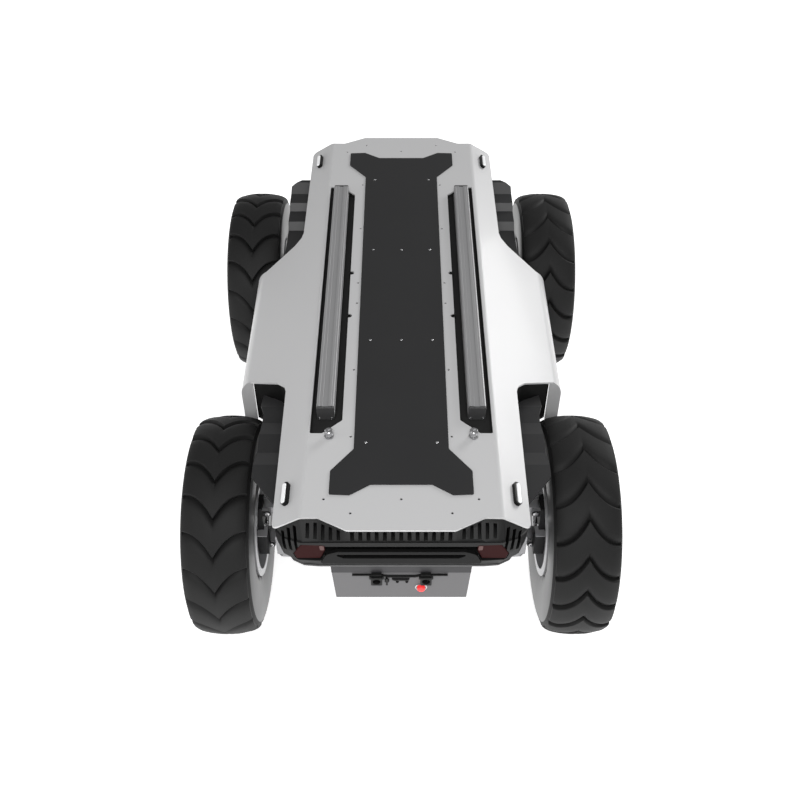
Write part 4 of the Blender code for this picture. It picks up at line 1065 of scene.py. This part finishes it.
def build_upright(side, end, corner):
    y = end * WHEEL_Y
    name = "upright_" + corner
    x0, x1 = CARRIER_X
    plate = rounded([(y + dy, z) for dy, z in CARRIER], 0.004)
    body = prism("carrier_" + corner, "X", plate, side * x0, side * x1)
    join(body, cylinder("boss", (side * 0.256, y, AXLE_Z), 0.03, 0.024, "X", 48))
    for z in (ARM_OUT[2], ARM_UP_Z):
        for sign in (1, -1):
            tine = fork(side, 0.24, ARM_OUT[0], z, 0.0075, 0.0075)
            join(body, prism("fork", "Y", tine, y + sign * 0.0105, y + sign * 0.0175))
        join(body, cylinder("pin", (side * ARM_OUT[0], y, z), PIN_R, 0.033, "Y", 24))
    cut(body, cylinder("bearing", (side * 0.255, y, AXLE_Z), 0.0132, 0.06, "X", 36))
    block = [side * x for x in BLOCK_X] + [y + end * dy for dy in BLOCK_Y]
    join(body, box("block", *block, ARM_OUT[2] + 0.0005, BLOCK_TOP_Z))
    soften(body, 0.0009, 2, 40)
    place(body, name, "tub", [name])
    lid = box("hub_plate_" + corner, *block, BLOCK_TOP_Z, BLOCK_TOP_Z + 0.002)
    soften(lid, 0.0005)
    place(lid, name, "arm", slot="painted_black")
    body.data.materials.append(MAT["arm"])
    for face in body.data.polygons:
        if abs(face.center.x) < x0 - 0.0002 and abs(face.center.y - y) < 0.0164:
            face.material_index = 1
    spots = [((side * x0, y + 0.0195 * math.cos(a), AXLE_Z + 0.0195 * math.sin(a)), (-side, 0, 0))
             for a in (math.pi / 4, 3 * math.pi / 4, 5 * math.pi / 4, 7 * math.pi / 4)]
    screws("carrier_bolts_" + corner, spots, 0.003, 0.0026, name)
    heads = [((side * ARM_OUT[0], y + sign * 0.0175, z), (0, sign, 0)) for sign in (1,
                                                                                    -1) for z in (ARM_OUT[2],
                                                                                                  ARM_UP_Z)]
    screws("ball_bolts_" + corner, heads, 0.005, 0.0026, name)


def build_shock(side, end, corner):
    x = side * (SHOCK[0][0] + SHOCK[1][0]) / 2
    y = end * (SHOCK[0][1] + SHOCK[1][1]) / 2
    low, length = SHOCK[0][2], SHOCK[1][2] - SHOCK[0][2]
    profile = [(0.0, 0.0052), (0.0, 0.0085)]
    height = length - 0.028
    for turn in range(COILS):
        h = height * turn / COILS
        profile += [(h + height * 0.04, 0.0088), (h + height * 0.075, 0.0104), (h + height * 0.11, 0.0088)]
    profile += [(height, 0.009), (height, 0.0104), (length - 0.001, 0.0104), (length, 0.0095),
                (length, 0.0052)]
    can = lathe("damper_" + corner, profile, 36, Matrix.Translation((x, y, low)))
    place(can, "chassis", "rubber", ["shock_body_" + corner], smooth=50)
    rod = lathe("damper_rod_" + corner, [(0.0, 0.0), (0.0, 0.0042), (0.092, 0.0042), (0.092, 0.0)], 28,
                Matrix.Translation((x, y, 0.158)))
    join(rod, cylinder("eye", (x, y, ARM_OUT[2]), 0.0085, 0.011, "Y", 32))
    cut(rod, cylinder("hole", (x, y, ARM_OUT[2]), 0.0045, 0.03, "Y", 24))
    soften(rod, 0.0004, 2, 50)
    place(rod, "shock_rod_" + corner, "steel", ["shock_rod_" + corner])


def build_suspension():
    for side, end, corner in CORNERS:
        build_arm(side, end, corner, ARM_OUT[2], "lower")
        build_arm(side, end, corner, ARM_UP_Z, "upper")
        build_upright(side, end, corner)
        build_shock(side, end, corner)


def build_tub():
    repaint("chassis_tub", "tub")
    repaint("battery_pack", "battery")
    spots = []
    for x, z, out, down in ((0.1465, TUB[0][2] + 0.012, 1, 0), (0.132, TUB[0][2], 0, -1)):
        for side in SIDES:
            spots += [((side * x, -0.32 + index * 0.08, z), (side * out, 0, down)) for index in range(9)]
    screws("tub_screws", spots, 0.0036, 0.0018, "chassis")


# ---------------------------------------------------------------- stage
CAMERA_AT = (0.0, -1.394, 1.572)
CAMERA_DOWN = math.radians(45.54)
FOCAL = 45.0
SHIFT_X = -0.0016
WORLD_LIGHT, FLOOR_GLOW = 0.29, 0.8
# Each lamp's name, place, target, size and power.
LAMPS = (
    ("key", (3.0, 2.9, 1.9), (0.0, 0.0, 0.3), 1.6, 74.0),
    ("fill", (-3.0, -1.2, 1.3), (0.0, 0.0, 0.3), 2.4, 14.0),
    ("top", (0.0, -2.3, 3.1), (0.0, -0.2, 0.3), 2.0, 66.0),
)


def build_stage():
    bm = bmesh.new()
    bmesh.ops.create_grid(bm, x_segments=1, y_segments=1, size=30.0)
    floor = mesh_object("studio_floor", bm)
    mat = surface("floor_paint", (0.9, 0.9, 0.9), 0.85, spread=0.01, blotch=1.0, grain=200.0, bump=0.01,
                  specular=0.2, emission=(1.0, 1.0, 1.0), glow=FLOOR_GLOW)
    floor.data.materials.append(mat)

    world = bpy.data.worlds.new("studio")
    bpy.context.scene.world = world
    world.use_nodes = True
    sky = world.node_tree.nodes["Background"].inputs
    sky["Color"].default_value = (1.0, 1.0, 1.0, 1.0)
    sky["Strength"].default_value = WORLD_LIGHT

    for name, spot, target, size, power in LAMPS:
        data = bpy.data.lights.new(name, "AREA")
        data.size = size
        data.energy = power
        lamp = bpy.data.objects.new(name, data)
        aim = (Vector(target) - Vector(spot)).to_track_quat("-Z", "Y").to_matrix().to_4x4()
        lamp.matrix_world = Matrix.Translation(spot) @ aim
        bpy.context.scene.collection.objects.link(lamp)

    data = bpy.data.cameras.new("camera")
    data.lens = FOCAL
    data.sensor_width = 36.0
    data.shift_x = SHIFT_X
    data.clip_end = 100.0
    camera = bpy.data.objects.new("camera", data)
    camera.location = CAMERA_AT
    camera.rotation_euler = (math.pi / 2 - CAMERA_DOWN, 0.0, 0.0)
    bpy.context.scene.collection.objects.link(camera)
    bpy.context.scene.camera = camera
    bpy.context.scene.view_settings.view_transform = "Standard"


build_cover()
build_plate()
build_rails()
build_markers()
build_liners()
build_bumpers()
build_box()
build_wheels()
build_suspension()
build_tub()
build_stage()
